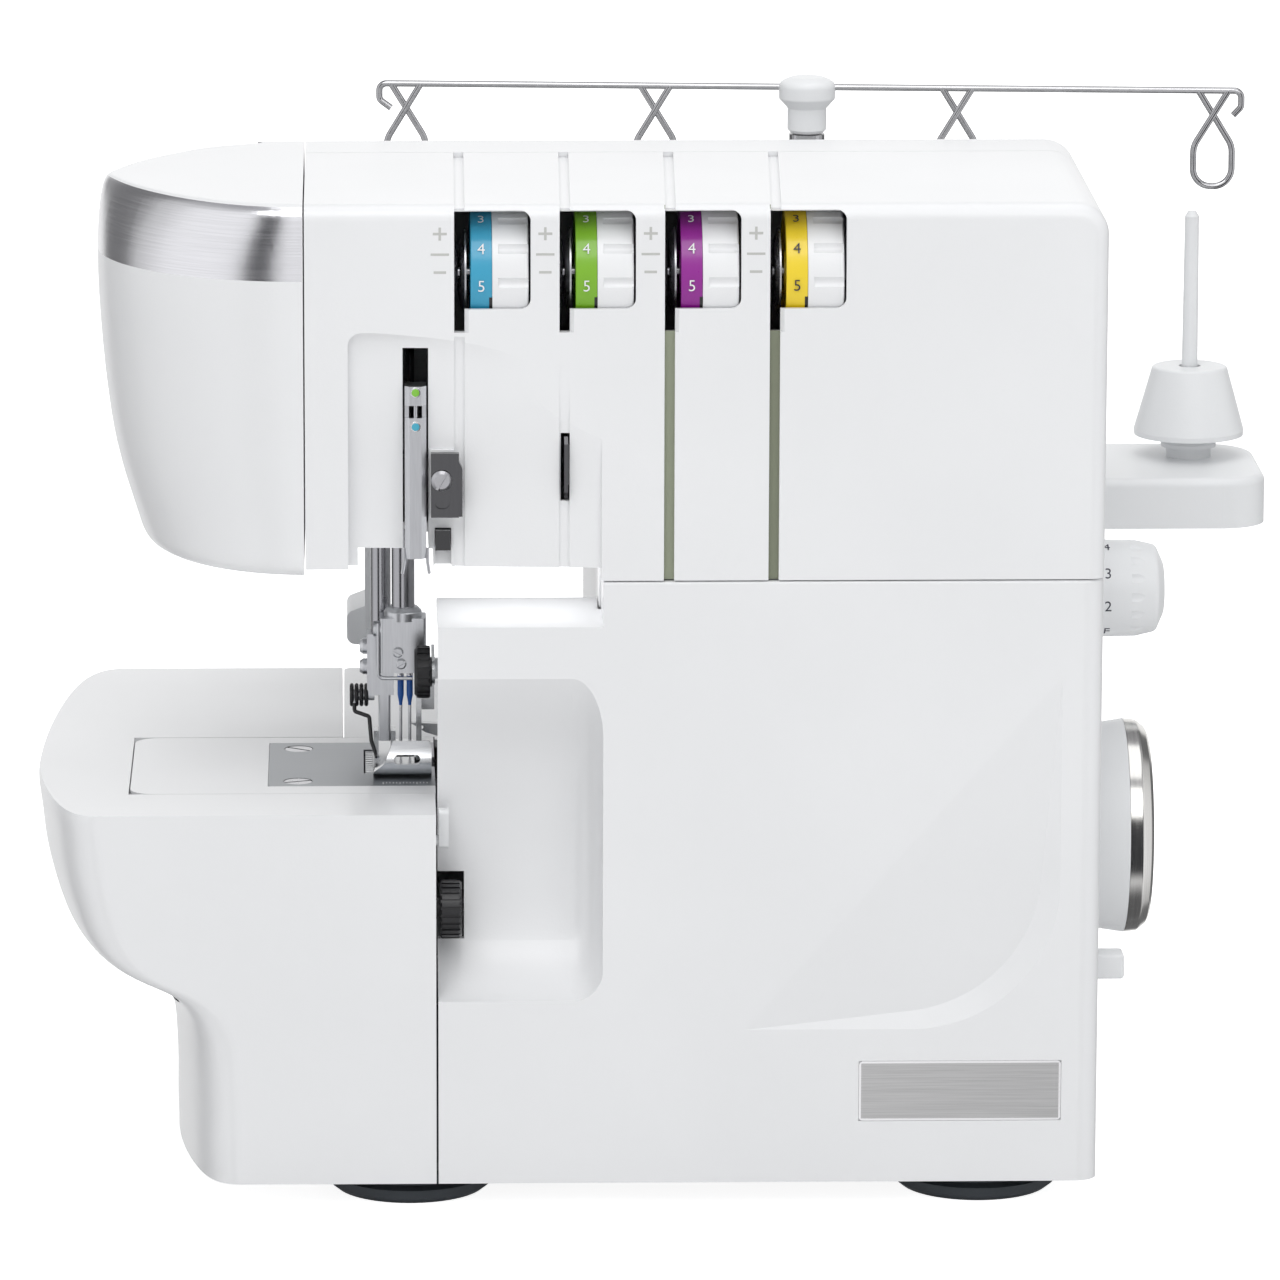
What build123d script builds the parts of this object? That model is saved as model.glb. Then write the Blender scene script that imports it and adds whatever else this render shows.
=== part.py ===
from build123d import *
from math import cos, pi, radians, sin, sqrt
import os

os.makedirs("parts", exist_ok=True)

# Overlock machine, in millimetres. X runs along the machine's width to the handwheel, Y runs
# from the front face to the back, and Z runs up from the surface that the feet stand on.
# X = 0 lies near the middle of the needle plate, and Y = 0 is the flat front of the casing.
# save() moves every piece so that the origin lies under the middle of the whole machine.

# ---------------------------------------------------------------- driving sizes of the casing
foot_height = 8.0
casing_wall = 2.4
seam_gap = 0.4              # open joint between two casing parts
edge_round = 4.5            # front edges of the casing
rear_round = 8.0            # rear edges of the casing

head_left = -13.8           # joint between the front housing and the face cover
face_length = 60.7          # the face cover's reach to the left of that joint
body_right = 218.0
body_top = 299.0
corner_round = 9.5          # upper right corner, seen from the front
head_depth = 131.0
head_seam_y = 100.0         # joint between the front housing and the rear housing
head_underside = 192.6
head_floor = 7.4            # thick floor of the head, which takes the notch over the bars
front_wall = 3.4
throat_right = 71.9         # right end of the space under the head

cover_top = 188.6           # looper cover's upper edge, right of the scoop
cover_depth = 26.0
cover_left = 24.4           # joint between the extension table and the looper cover
ledge_top = 175.3
ledge_depth = 43.0
body_depth = 204.0
hump_top = 168.0            # lower, deeper part of the casing over the motor
bed_top = 119.6
bed_left = -3.0             # joint between the extension table and the fixed bed, at the rear

# ---------------------------------------------------------------- sizes of the working parts
slot_pitch = 30.3
slot_first_x = 30.8
slot_width = 3.0
slot_bottom = 262.0
slot_count = 4
dial_radius = 19.0
dial_axis_y = 19.6
dial_axis_z = 276.4
dial_ring_width = 6.3
dial_wheel_width = 10.4
dial_first_gap = 3.2        # from a slot's middle to the coloured ring
window_low = 268.8
window_high = 297.4
window_width = 20.5

needle_x = 14.0
needle_y = 70.0
needle_pitch = 2.7
needle_bar_x = 14.8
needle_bar_radius = 3.45
presser_bar_x = 8.2
presser_bar_y = 79.0
presser_bar_radius = 3.0
running_gap = 0.05          # radial clearance of a shaft in its hole
clear_gap = 0.4             # least distance between pieces that move past each other

shaft_y = 80.0
shaft_z = 97.0
shaft_radius = 5.0
handwheel_radius = 32.2
handwheel_reach = body_right + 20.3

mast_x = 139.9
mast_y = body_depth - 26.0
stand_bottom = 171.8
stand_top = 187.4
stand_rear = body_depth + 18.0
stand_right = 282.3
pin_x = (19.0, 95.0, 184.0, 261.0)
pin_y = body_depth - 5.0

table_left = -93.8

origin_x = (table_left + stand_right) / 2
origin_y = stand_rear / 2


# ---------------------------------------------------------------- helpers
def save(name, shape):
    """Write one node, moved to the machine's own origin."""
    export_step(Pos(-origin_x, -origin_y, 0) * shape, f"parts/{name}.step")


def outline(*corners):
    """Closed flat outline. A corner's third number is its rounding radius."""
    points = [(c[0], c[1]) for c in corners]
    radii = [c[2] if len(c) == 3 else 0 for c in corners]
    return make_face(FilletPolyline(*points, radius=radii, close=True))


def front_prism(face, y0, y1):
    """Extrude an (X, Z) outline from depth y0 to depth y1."""
    return extrude(Plane.XZ.offset(-y0) * face, amount=-(y1 - y0))


def side_prism(face, x0, x1):
    """Extrude a (Y, Z) outline from x0 to x1."""
    return extrude(Plane.YZ.offset(x0) * face, amount=x1 - x0)


def plan_prism(face, z0, z1):
    """Extrude an (X, Y) outline from height z0 to height z1."""
    return extrude(Plane.XY.offset(z0) * face, amount=z1 - z0)


def block(x, y, z):
    """Box between the given limits, each a pair (low, high)."""
    size = (x[1] - x[0], y[1] - y[0], z[1] - z[0])
    return Pos((x[0] + x[1]) / 2, (y[0] + y[1]) / 2, (z[0] + z[1]) / 2) * Box(*size)


def rod_x(x0, x1, y, z, radius):
    return Plane((x0, y, z), z_dir=(1, 0, 0)) * extrude(Circle(radius), amount=x1 - x0)


def rod_y(y0, y1, x, z, radius):
    return Plane((x, y0, z), z_dir=(0, 1, 0)) * extrude(Circle(radius), amount=y1 - y0)


def rod_z(z0, z1, x, y, radius):
    return Pos(x, y, z0) * extrude(Circle(radius), amount=z1 - z0)


def turned(axis_plane, *profile):
    """Solid of revolution about axis_plane's normal, from (radius, height) corners."""
    face = Plane.XZ * outline(*profile)
    return axis_plane * revolve(face, Axis.Z)


def union(pieces):
    """Join overlapping solids into one."""
    joined = pieces[0]
    for piece in pieces[1:]:
        joined = joined + piece
    return joined


def wire(path, radius):
    """Round wire along a path that starts at path @ 0."""
    return sweep(Plane(path @ 0, z_dir=path % 0) * Circle(radius), path=path)


def group(pieces):
    """Several separate solids that share one node."""
    return Compound(children=list(pieces))


slot_x = [slot_first_x + i * slot_pitch for i in range(slot_count)]


# ---------------------------------------------------------------- head: front and rear housing
recess_left = -1.4
recess_top = 262.0
recess_depth = 1.6          # seat of the thread guide
recess_deep = 6.0
recess_turn = 3.6
recess_wall = 2.6
clip_seat = 4.2
notch_left = 1.4
notch_right = 23.2
notch_top = head_underside + 5.3
notch_depth = 96.0
lamp_right = 28.4
lamp_top = head_underside + 11.4
groove_depth = 2.2
lip_chamfer = 1.3
slot_top_depth = 1.5        # the slots are only grooves along the top
slot_lean = 1.0             # how far each slot leans to the right at the rear, times its number
takeup_slot = (14.4, 21.8)
takeup_slot_top = 257.4
guide_slot = (60.0, 62.6)
guide_slot_z = (212.2, 232.4)


def head_outline(inset, left):
    """Front view of head and column, with the step over the throat."""
    right = body_right - inset
    top = body_top - inset
    step = throat_right + inset
    low = cover_top + seam_gap if inset == 0 else cover_top - 1
    under = head_underside if inset == 0 else head_underside + head_floor
    return outline((left, under), (step, under), (step, low), (right, low),
                   (right, top, corner_round - inset), (left, top))


def outer_edges(shape, y):
    """Edges at depth y along the top, the upper right corner and the right side."""
    flat = shape.edges().filter_by_position(Axis.Y, y, y)
    return [e for e in flat if e.center().Z > body_top - corner_round or e.center().X > body_right - 2]


def thread_slot(x, lean):
    """Cutter for one slot: through the front wall, and along the top to the rear seam."""
    half = slot_width / 2
    front = block((x - half, x + half), (-1, front_wall + 1), (slot_bottom, body_top - slot_top_depth))
    far = head_seam_y + 1
    along = outline((x - half, -1), (x + half, -1), (x + half + lean, far), (x - half + lean, far))
    top = plan_prism(along, body_top - slot_top_depth, body_top + 1)
    edge = x + half - 0.1
    lip = outline((edge, -1), (edge + lip_chamfer + 1, -1), (edge, lip_chamfer))
    return front + top + plan_prism(lip, slot_bottom, body_top + 1)


def recess_cutter(grow):
    """Hollow round the needle drive: its floor starts at the top and runs back as it comes down."""
    top = recess_top + grow
    low = head_underside - 6
    deep = recess_deep + grow
    profile = make_face([
        Spline((0.5, top), (deep * 0.55, top - 17), (deep * 0.9, top - 38), (deep, low), tangents=[(0.9, -1), (0, -1)]),
        Polyline((deep, low), (-3, low), (-3, top), (0.5, top)),
    ])
    turn = Pos(recess_left) * Rot(0, 0, -recess_turn) * Pos(-recess_left)
    shape = outline((recess_left - grow, low), (recess_left - grow, top, 4), (throat_right + grow, top, corner_round),
                    (throat_right + grow, low))
    return turn * side_prism(profile, recess_left - 20, throat_right + 20) & front_prism(shape, -3, deep + 1)


def front_housing():
    shell = front_prism(head_outline(0, head_left), 0, head_seam_y)
    shell = fillet(outer_edges(shell, 0), edge_round)
    shell -= front_prism(head_outline(casing_wall, head_left - 1), front_wall, head_seam_y + 1)
    cutter = recess_cutter(0)
    shell += recess_cutter(recess_wall) & block((head_left, throat_right), (1, 20), (head_underside, recess_top + 4))
    seat = block((22.1, 32.0), (recess_depth, 8), (207.4, 227.4))
    seat -= rod_y(recess_depth - 1, 9, guide_screw_x, guide_screw_z, 1.5)
    shell = shell - cutter + seat
    for number, x in enumerate(slot_x):
        shell -= thread_slot(x, slot_lean * (number + 1))
        side = (x - slot_width / 2, x + slot_width / 2)
        groove = block(side, (-1, groove_depth), (head_underside - 6, slot_bottom + 1))
        if x < throat_right:
            groove = Pos(0, groove_depth / 3) * cutter & block(side, (-1, 20), (head_underside - 6, slot_bottom + 1))
        shell -= groove
        window = outline((x, window_low), (x + window_width, window_low, 3),
                         (x + window_width, window_high, 3), (x, window_high))
        shell -= front_prism(window, -1, front_wall + 1)
        shell -= rod_x(x, x + window_width, dial_axis_y, dial_axis_z, dial_radius + clear_gap)
    shell -= block((notch_left, notch_right), (-1, notch_depth), (head_underside - 1, notch_top))
    shell -= block(takeup_slot, (-1, 12), (notch_top - 1, takeup_slot_top))
    shell -= block(takeup_slot, (-1, 34), (notch_top - 1, head_underside + head_floor + 1))
    shell -= block((notch_right + seam_gap, lamp_right), (-1, 8), (head_underside - 1, lamp_top))
    shell -= block(guide_slot, (-1, 12), guide_slot_z)
    shell -= block((guide_slot[0] - 1, guide_slot[1] + 9), (clip_seat, 12), (guide_slot_z[0], guide_slot_z[1]))
    through = (head_underside - 1, head_underside + head_floor + 1)
    shell -= rod_z(*through, needle_bar_x, needle_y, needle_bar_radius + 1.2)
    shell -= rod_z(*through, presser_bar_x, presser_bar_y, presser_bar_radius + 1.6)
    return shell


vent_count = 6
vent_pitch = 9.0


def rear_housing():
    front = head_seam_y + seam_gap
    shell = front_prism(head_outline(0, head_left), front, head_depth)
    shell = fillet(outer_edges(shell, head_depth), rear_round)
    inner = head_outline(casing_wall, head_left - 1)
    shell -= front_prism(inner, front - 1, head_depth - casing_wall)
    shell -= block((lifter_x[0] - 1.5, lifter_x[1] + 1.5), (lifter_y[0] - 2, lifter_y[1] + 6),
                   (head_underside - 1, head_underside + head_floor + 1))
    for i in range(vent_count):
        z = body_top - 32 - i * vent_pitch
        shell -= block((body_right - 60, body_right - 24), (head_depth - 6, head_depth + 1), (z, z + 3))
    return shell


# ---------------------------------------------------------------- face cover and its trim
band_low = 277.0
band_wall = 1.3
band_top_drop = 0.7
face_bottom = 190.6

# (height, share of the full reach, squareness); squareness 2 is an ellipse
face_sections = ((face_bottom, 0.74, 2.0), (face_bottom + 1.6, 0.775, 2.0), (197.0, 0.81, 2.0),
                 (216.5, 0.905, 2.0), (236.0, 0.958, 2.0), (256.0, 0.988, 2.0), (276.7, 1.0, 2.0),
                 (288.0, 0.991, 1.72), (body_top - edge_round, 0.975, 1.45),
                 (body_top - 2, 0.962, 1.36), (body_top - 0.6, 0.946, 1.32), (body_top, 0.925, 1.3))
section_steps = 7
dome_start = 250.0          # the cover draws in towards the top from here


def rounding(height, radius):
    """How far a rounded upper edge has drawn back at this height below body_top."""
    below = max(0.0, height - (body_top - radius))
    return radius - sqrt(max(0.0, radius ** 2 - below ** 2))


def face_section(height, reach, squareness, inset, seam, sunk):
    """Half oval in plan, flat along the seam. A sunk one also lies lower near the top, by its inset."""
    front = rounding(height, edge_round) + inset
    rear = head_depth - rounding(height, rear_round) - inset
    if height < face_bottom + 2:
        front += (face_bottom + 2 - height) * 1.2
        rear -= (face_bottom + 2 - height) * 1.2
    middle = (front + rear) / 2
    half = (rear - front) / 2
    nose = face_length * reach - inset
    points = []
    for i in range(2 * section_steps + 1):
        angle = pi / 2 * (i / section_steps - 1)
        share = abs(sin(angle)) ** (2 / squareness)
        side = half * share * (1 if angle > 0 else -1)
        points.append((head_left - nose * cos(angle) ** (2 / 2), middle + side))
    curve = Spline(*points, tangents=[(-1, 0), (1, 0)])
    if seam > 0:
        lead = Polyline(points[-1], (head_left + seam, points[-1][1]),
                        (head_left + seam, points[0][1]), points[0])
    else:
        lead = Line(points[-1], points[0])
    sink = inset * max(0.0, (height - dome_start) / (body_top - dome_start)) if sunk else 0
    return Plane.XY.offset(height - sink) * make_face([curve, lead])


def face_form(inset, seam=0.0, skipped=0, sunk=False):
    """Domed end of the head, drawn in by inset, without its lowest sections."""
    return loft([face_section(*section, inset, seam, sunk) for section in face_sections[skipped:]])


def band_region():
    """From the chrome band's lower edge to just below the flat top."""
    far = head_left - face_length - 10
    return block((far, head_left - 0.6), (-5, head_depth + 5), (band_low, body_top - band_top_drop))


def face_cover():
    shell = Pos(-seam_gap, 0, 0) * face_form(0)
    shell -= face_form(casing_wall + band_wall, seam=2, skipped=1, sunk=True)
    band_seat = Pos(-seam_gap, 0, 0) * face_form(band_wall, seam=2)
    return shell - (band_region() - band_seat)


def face_trim():
    outer = Pos(-seam_gap, 0, 0) * face_form(0)
    skin = Pos(-seam_gap, 0, 0) * face_form(band_wall, seam=2)
    return (outer & band_region()) - skin


# ---------------------------------------------------------------- lower housing and bed
def lower_mass(inset):
    """Lower casing: main block, bed, column and motor hump, drawn in by inset."""
    right = body_right - inset
    rear = body_depth - inset
    front = cover_depth + seam_gap - (1 if inset else 0)
    low = foot_height + 0.4 - (1 if inset else 0)
    left = cover_left - (1 if inset else 0)
    rounded = rear_round - inset
    base = outline((left, front), (right, front), (right, rear, rounded), (left, rear))
    bed = outline((bed_left + inset, table_slot_rear + inset), (right - 9, table_slot_rear + inset),
                  (right - 9, rear), (bed_left + inset, rear, 3))
    column = outline((throat_right + inset, front), (right, front), (right, head_depth - inset, rounded),
                     (throat_right + inset, head_depth - inset, 3))
    hump = outline((throat_right + inset, head_depth - 30), (right, head_depth - 30),
                   (right, rear, rounded), (throat_right + inset, rear, 3))
    mass = plan_prism(base, low, bed_top - inset)
    mass += plan_prism(bed, low, bed_top - inset)
    mass += plan_prism(column, bed_top - 20, cover_top + (1 if inset else 0))
    mass += plan_prism(hump, bed_top - 20, hump_top - inset)
    return mass


table_slot_front = 28.7
table_slot_rear = 104.2


def lower_housing():
    shell = lower_mass(0)
    shell -= lower_mass(casing_wall)
    # the mechanism behind the looper cover stands in an opening of the bed
    shell -= block((cover_left - 1, throat_right - 6), (20, table_slot_rear - 4), (bed_top - 12, bed_top + 1))
    # the cover's ledge slides into the column here
    shell -= block((throat_right - 1, throat_right + 9), (cover_depth, ledge_depth + 0.6), (ledge_top - 12.6, ledge_top + 0.6))
    shell -= rod_x(body_right - 9, body_right + 1, shaft_y, shaft_z, shaft_radius + 3)
    shell -= rod_x(body_right - 9, body_right + 1, length_dial_y, length_dial_z, length_stub_radius + running_gap)
    shell -= block((body_right - 9, body_right + 1), switch_y, switch_z)
    shell -= block((body_right - 9, body_right + 1), inlet_y, inlet_z)
    for i in range(2 * vent_count):
        x = 86 + i * vent_pitch
        shell -= block((x, x + 3), (body_depth - 6, body_depth + 1), (30, 66))
    shell -= rod_z(hump_top - 9, hump_top + 1, mast_x, mast_y, 9)
    return shell


# ---------------------------------------------------------------- looper cover with its scoop
scoop_right = 72.5
scoop_low = 63.5
scoop_high = 160.0
scoop_depth = 21.0
scoop_round = 9.0
cover_side_round = 6.0
hinge_y = 5.6
hinge_z = 14.6
hinge_rod_radius = 2.0
sleeve_radius = 3.4
knuckle_radius = 5.0
sleeve_x = ((56.0, 74.0), (168.0, 186.0))
badge_x = (147.6, 207.1)
badge_z = (26.8, 45.0)
badge_recess = 0.8
dish_right = 206.0          # the dish in the cover's front: its right side and lower side
dish_low = 54.6
dish_corner = 43.0
dish_top_end = 160.0        # where the right side fades out
dish_left_end = 114.0       # where the lower side fades out
dish_depth = 3.0
dish_slope = 2.6            # the rim's width for each millimetre of depth


def scoop(grow):
    """Hollow of the cover's left side, in front of the knob; grow makes it larger all round."""
    low = scoop_low - grow
    high = scoop_high + grow
    deep = scoop_depth + grow
    profile = make_face([
        Spline((-0.01, high), (deep * 0.55, high - 20), (deep, low + 32), (deep * 0.86, low + 14),
               tangents=[(0.5, -1), (-0.5, -1)]),
        Spline((deep * 0.86, low + 14), (deep * 0.4, low + 3.4), (-0.01, low), tangents=[(-0.5, -1), (-1, -0.1)]),
        Polyline((-0.01, low), (-8, low), (-8, high), (-0.01, high)),
    ])
    right = scoop_right + grow
    cutter = side_prism(profile, cover_left - 5, right)
    inside = [e for e in cutter.edges().filter_by_position(Axis.X, right, right) if e.center().Y > 0.5]
    return fillet(inside, scoop_round + grow)


def crescent_dish():
    """Shallow dish with a sloping rim, deepest at its rounded corner and fading out at both ends."""
    reach = dish_depth * dish_slope
    shapes = []
    for y, inset in ((-1, -dish_slope), (0, 0), (dish_depth + 1, reach + dish_slope)):
        right = dish_right - inset
        low = dish_low + inset
        shapes.append(Plane.XZ.offset(-y) * outline((0, low), (right, low, dish_corner - inset), (right, 300), (0, 300)))
    pocket = loft([shapes[0], shapes[2]], ruled=True)
    # the dish's floor turns about the straight line between its two faded ends
    start = Vector(dish_left_end, 0, dish_low)
    end = Vector(dish_right, 0, dish_top_end)
    along = (end - start).normalized()
    corner = Vector(dish_right - dish_corner * 0.3, dish_depth, dish_low + dish_corner * 0.3)
    normal = (corner - start).cross(along).normalized()
    if normal.Y > 0:
        normal = -normal
    floor = Plane(start, x_dir=along, z_dir=normal)
    return pocket & floor * Pos(0, 0, 50) * Box(600, 600, 100)


def looper_cover():
    wide = block((scoop_right, body_right), (0, cover_depth), (foot_height + 0.4, cover_top))
    front = wide.edges().filter_by_position(Axis.Y, 0, 0)
    wide = fillet(front.sort_by(Axis.X)[-1], cover_side_round)
    wide = fillet(wide.edges().filter_by_position(Axis.Y, 0, 0).sort_by(Axis.Z)[-1], 0.8)
    left_part = block((cover_left, scoop_right + 1), (0, cover_depth), (foot_height + 0.4, ledge_top))
    ledge = block((cover_left, throat_right - seam_gap), (0, ledge_depth), (ledge_top - 12, ledge_top))
    outer = wide + left_part + ledge
    inner = block((cover_left - 1, body_right - casing_wall), (casing_wall, cover_depth + 1),
                  (0, ledge_top - casing_wall))
    inner += block((scoop_right + casing_wall, body_right - casing_wall), (casing_wall, cover_depth + 1),
                   (ledge_top - 9, cover_top - casing_wall))
    inner += block((cover_left - 1, throat_right - seam_gap - casing_wall), (casing_wall, ledge_depth + 1),
                   (ledge_top - 14, ledge_top - casing_wall))
    shell = outer - inner
    shell += scoop(casing_wall) & block((cover_left, scoop_right + 6), (0.5, ledge_depth), (20, ledge_top - 1))
    shell -= scoop(0)
    # the rear edge of the right side wall is cut off below, so that it swings clear of the casing
    heel = outline((12, 0), (cover_depth + 1, 0), (cover_depth + 1, 24), (cover_depth - 2, 24))
    shell -= side_prism(heel, body_right - 12, body_right + 1)
    shell -= block(badge_x, (-1, badge_recess), badge_z)
    shell += Pos(0, casing_wall, 0) * crescent_dish() & block((100, body_right - 2), (1, 8), (dish_low - 1, cover_top - 6))
    shell -= crescent_dish()
    # the cover swings past the knob, so its left edge is cut out behind it
    shell -= block((cover_left - 1, cover_left + 7.8), (1, 30), (knob_z - 10.6, knob_z + 9.2))
    for low, high in sleeve_x:
        shell -= rod_x(low - 0.3, high + 0.3, hinge_y, hinge_z, sleeve_radius + clear_gap)
        for x0 in (low - 6 - 0.3, high + 0.3):
            knuckle = rod_x(x0, x0 + 6, hinge_y, hinge_z, knuckle_radius)
            knuckle += block((x0, x0 + 6), (1, hinge_y), (hinge_z - 3, hinge_z + 12))
            shell += knuckle - rod_x(x0 - 1, x0 + 7, hinge_y, hinge_z, hinge_rod_radius + clear_gap)
    return shell


def badge_plate():
    gap = 0.1
    shape = outline((badge_x[0] + gap, badge_z[0] + gap, 1.2), (badge_x[1] - gap, badge_z[0] + gap, 1.2),
                    (badge_x[1] - gap, badge_z[1] - gap, 1.2), (badge_x[0] + gap, badge_z[1] - gap, 1.2))
    return front_prism(shape, 0.1, badge_recess)


def cover_hinge_rod():
    rod = rod_x(cover_left + 14, body_right - 8, hinge_y, hinge_z, hinge_rod_radius)
    for x in (cover_left + 14, body_right - 14):
        rod += block((x, x + 5), (hinge_y - 1, 17), (hinge_z - 2.2, hinge_z + 2.2))
        rod += block((x, x + 5), (13, 17), (foot_height + 3, hinge_z + 2.2))
    return rod


def cover_hinge_sleeves():
    pieces = []
    for low, high in sleeve_x:
        tube = rod_x(low, high, hinge_y, hinge_z, sleeve_radius)
        pieces.append(tube - rod_x(low - 1, high + 1, hinge_y, hinge_z, hinge_rod_radius + running_gap))
    return group(pieces)


# ---------------------------------------------------------------- extension table and free arm
table_right = 23.8
table_bottom = foot_height + 0.4

# left side of the table, seen from the front, as (X, Z) from the floor up
table_profile = ((-53.2, table_bottom), (-53.3, 26), (-53.8, 42), (-56.0, 54), (-62.5, 62.5), (-74.0, 68.5),
                 (-83.5, 75.5), (-89.4, 88), (-92.8, 104), (table_left, bed_top))
table_steps = 14
table_edge_round = 1.6
table_middle_y = 76.0       # the left side reaches furthest out here


def table_section(left, height, inset, right):
    """Plan of the table at one height: straight front and rear, and a bowed left side."""
    bulge = (height - table_bottom) / (bed_top - table_bottom)
    left = left + inset
    front = inset
    rear = body_depth - inset
    front_curve = Bezier((left + 20, front), (left + 11, front), (left + 8.5, front + 7), (left + 4.6, 26),
                         (left, 46), (left, table_middle_y))
    rear_curve = Bezier((left, table_middle_y), (left, 118), (left + 0.5 + 3 * bulge, 150),
                        (left + 1 + 6 * bulge, rear - 20), (left + 2 + 8 * bulge, rear),
                        (left + 14 + 8 * bulge, rear))
    rest = Polyline((left + 14 + 8 * bulge, rear), (right, rear), (right, front), (left + 20, front))
    return Plane.XY.offset(height) * make_face([front_curve, rear_curve, rest])


def table_form(inset, right, drop):
    """The whole table, drawn in by inset and moved down by drop."""
    edge = Spline(*table_profile)
    spots = [edge @ (i / table_steps) for i in range(table_steps + 1)]
    return Pos(0, 0, -drop) * loft([table_section(spot.X, spot.Y, inset, right) for spot in spots])


def extension_table():
    shell = table_form(0, table_right, 0)
    shell -= table_form(casing_wall, table_right + 1, casing_wall)
    arm_slot = block((arm_left - clear_gap, table_right + 1), (table_slot_front - clear_gap, table_slot_rear + clear_gap),
                     (arm_bottom - 8, bed_top + 1))
    rear_gap = block((bed_left - clear_gap, table_right + 1), (table_slot_rear - 1, body_depth + 1),
                     (table_bottom - 1, bed_top + 1))
    return shell - arm_slot - rear_gap


arm_left = -66.0
arm_bottom = 84.0
arm_right = 24.0
plate_left = -25.4
plate_right = 24.0
plate_front = 38.4
plate_rear = 96.4
plate_thickness = 2.0
plate_screw_x = -16.6
plate_screw_y = (45.0, 88.6)


def free_arm_cover():
    plan = outline((arm_right, table_slot_front), (arm_right, table_slot_rear - 0.3),
                   (arm_left, table_slot_rear - 0.3, 7), (arm_left, table_slot_front, 7))
    arm = plan_prism(plan, arm_bottom, bed_top)
    low_edge = [e for e in arm.edges().filter_by_position(Axis.Z, arm_bottom, arm_bottom)
                if e.center().X < arm_right - 1]
    arm = fillet(low_edge, 5)
    hollow = outline((arm_right + 1, table_slot_front + casing_wall), (arm_right + 1, table_slot_rear - 0.3 - casing_wall),
                     (arm_left + casing_wall, table_slot_rear - 0.3 - casing_wall, 5),
                     (arm_left + casing_wall, table_slot_front + casing_wall, 5))
    arm -= plan_prism(hollow, arm_bottom + casing_wall, bed_top - plate_thickness - 2)
    arm -= block((plate_left - 0.1, arm_right + 1), (plate_front - 0.1, plate_rear + 0.1),
                 (bed_top - plate_thickness, bed_top + 1))
    arm -= block((plate_left + 5, arm_right + 1), (plate_front + 5, plate_rear - 5),
                 (bed_top - plate_thickness - 3, bed_top))
    for y in plate_screw_y:
        arm += rod_z(bed_top - plate_thickness - 8, bed_top - plate_thickness, plate_screw_x, y, 4)
        arm -= rod_z(bed_top - plate_thickness - 7, bed_top, plate_screw_x, y, 1.7)
    return arm


feed_x = (3.4, 11.4)
feed_y = (56.0, 86.0)
needle_slot_y = (needle_y - 2.2, needle_y + 2.2)
lower_knife_x = (20.6, 22.2)
lower_knife_y = (64.0, 76.0)
upper_knife_x = (18.6, 20.2)


def needle_plate():
    plate = block((plate_left, plate_right), (plate_front, plate_rear), (bed_top - plate_thickness, bed_top))
    corner = plate.edges().filter_by(Axis.Z).sort_by(Axis.X)[:2]
    plate = fillet(corner, 1.2)
    for x in (feed_x[0], (feed_x[0] + feed_x[1]) / 2 + 0.4):
        plate -= block((x - 0.5, x + (feed_x[1] - feed_x[0]) / 2 - 0.1), (feed_y[0] - 1, feed_y[1] + 1),
                       (bed_top - 3, bed_top + 1))
    plate -= block((needle_x - 1.2, needle_x + needle_pitch + 1.2), needle_slot_y, (bed_top - 3, bed_top + 1))
    plate -= block((upper_knife_x[0] - 0.5, plate_right + 1), (lower_knife_y[0] - 0.4, lower_knife_y[1] + 0.4),
                   (bed_top - 3, bed_top + 1))
    for y in plate_screw_y:
        plate -= turned(Plane((plate_screw_x, y, bed_top)), (0, 0.01), (4.3, 0.01), (4.3, -0.45), (2.5, -1.75),
                        (1.8, -1.75), (1.8, -3), (0, -3))
    return plate


def slotted_screw(plane, head_radius, head_height, shank_radius, length, slot_angle=0):
    """Screw with its head above the plane and its shank below."""
    rim = head_height * 0.45
    screw = turned(plane, (0, -length), (shank_radius, -length), (shank_radius, 0), (head_radius, 0),
                   (head_radius, rim), (head_radius * 0.72, head_height), (0, head_height))
    cut = Rot(0, 0, slot_angle) * Box(head_radius * 3, 0.3 + head_radius * 0.18, head_height)
    return screw - plane * Pos(0, 0, head_height) * cut


def fixing_screws():
    pieces = []
    for y, angle in zip(plate_screw_y, (20, -35)):
        head = turned(Plane((plate_screw_x, y, bed_top)), (0, -8.5), (1.6, -8.5), (1.6, -1.7), (2.1, -1.7),
                      (4.1, -0.3), (4.1, -0.1), (0, -0.1))
        slot = Pos(plate_screw_x, y, bed_top) * Rot(0, 0, angle) * Box(9, 0.9, 1.6)
        pieces.append(head - slot)
    pieces.append(slotted_screw(Plane((guide_screw_x, -guide_plate_y, guide_screw_z), x_dir=(1, 0, 0), z_dir=(0, -1, 0)),
                                3.0, 1.6, 1.5, 2.3, 60))
    return group(pieces)


# ---------------------------------------------------------------- frame, base and feet
foot_radius = 24.0
foot_x = (16.3, 184.0)
foot_y = (31.0, body_depth - 36.0)
frame_x = (38.0, body_right - 32.0)    # left faces of the two bearing walls
frame_wall = 8.0
base_thickness = 3.0
frame_bottom = foot_height + 5.0
bush_radius = 8.0


def rubber_feet():
    pieces = []
    for x in foot_x:
        for y in foot_y:
            pieces.append(turned(Plane((x, y, 0)), (0, 0), (foot_radius - 2, 0), (foot_radius, 1.6),
                                 (foot_radius, 4.2), (foot_radius - 3, 5.0), (foot_radius - 3.6, foot_height),
                                 (0, foot_height)))
    return group(pieces)


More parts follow.
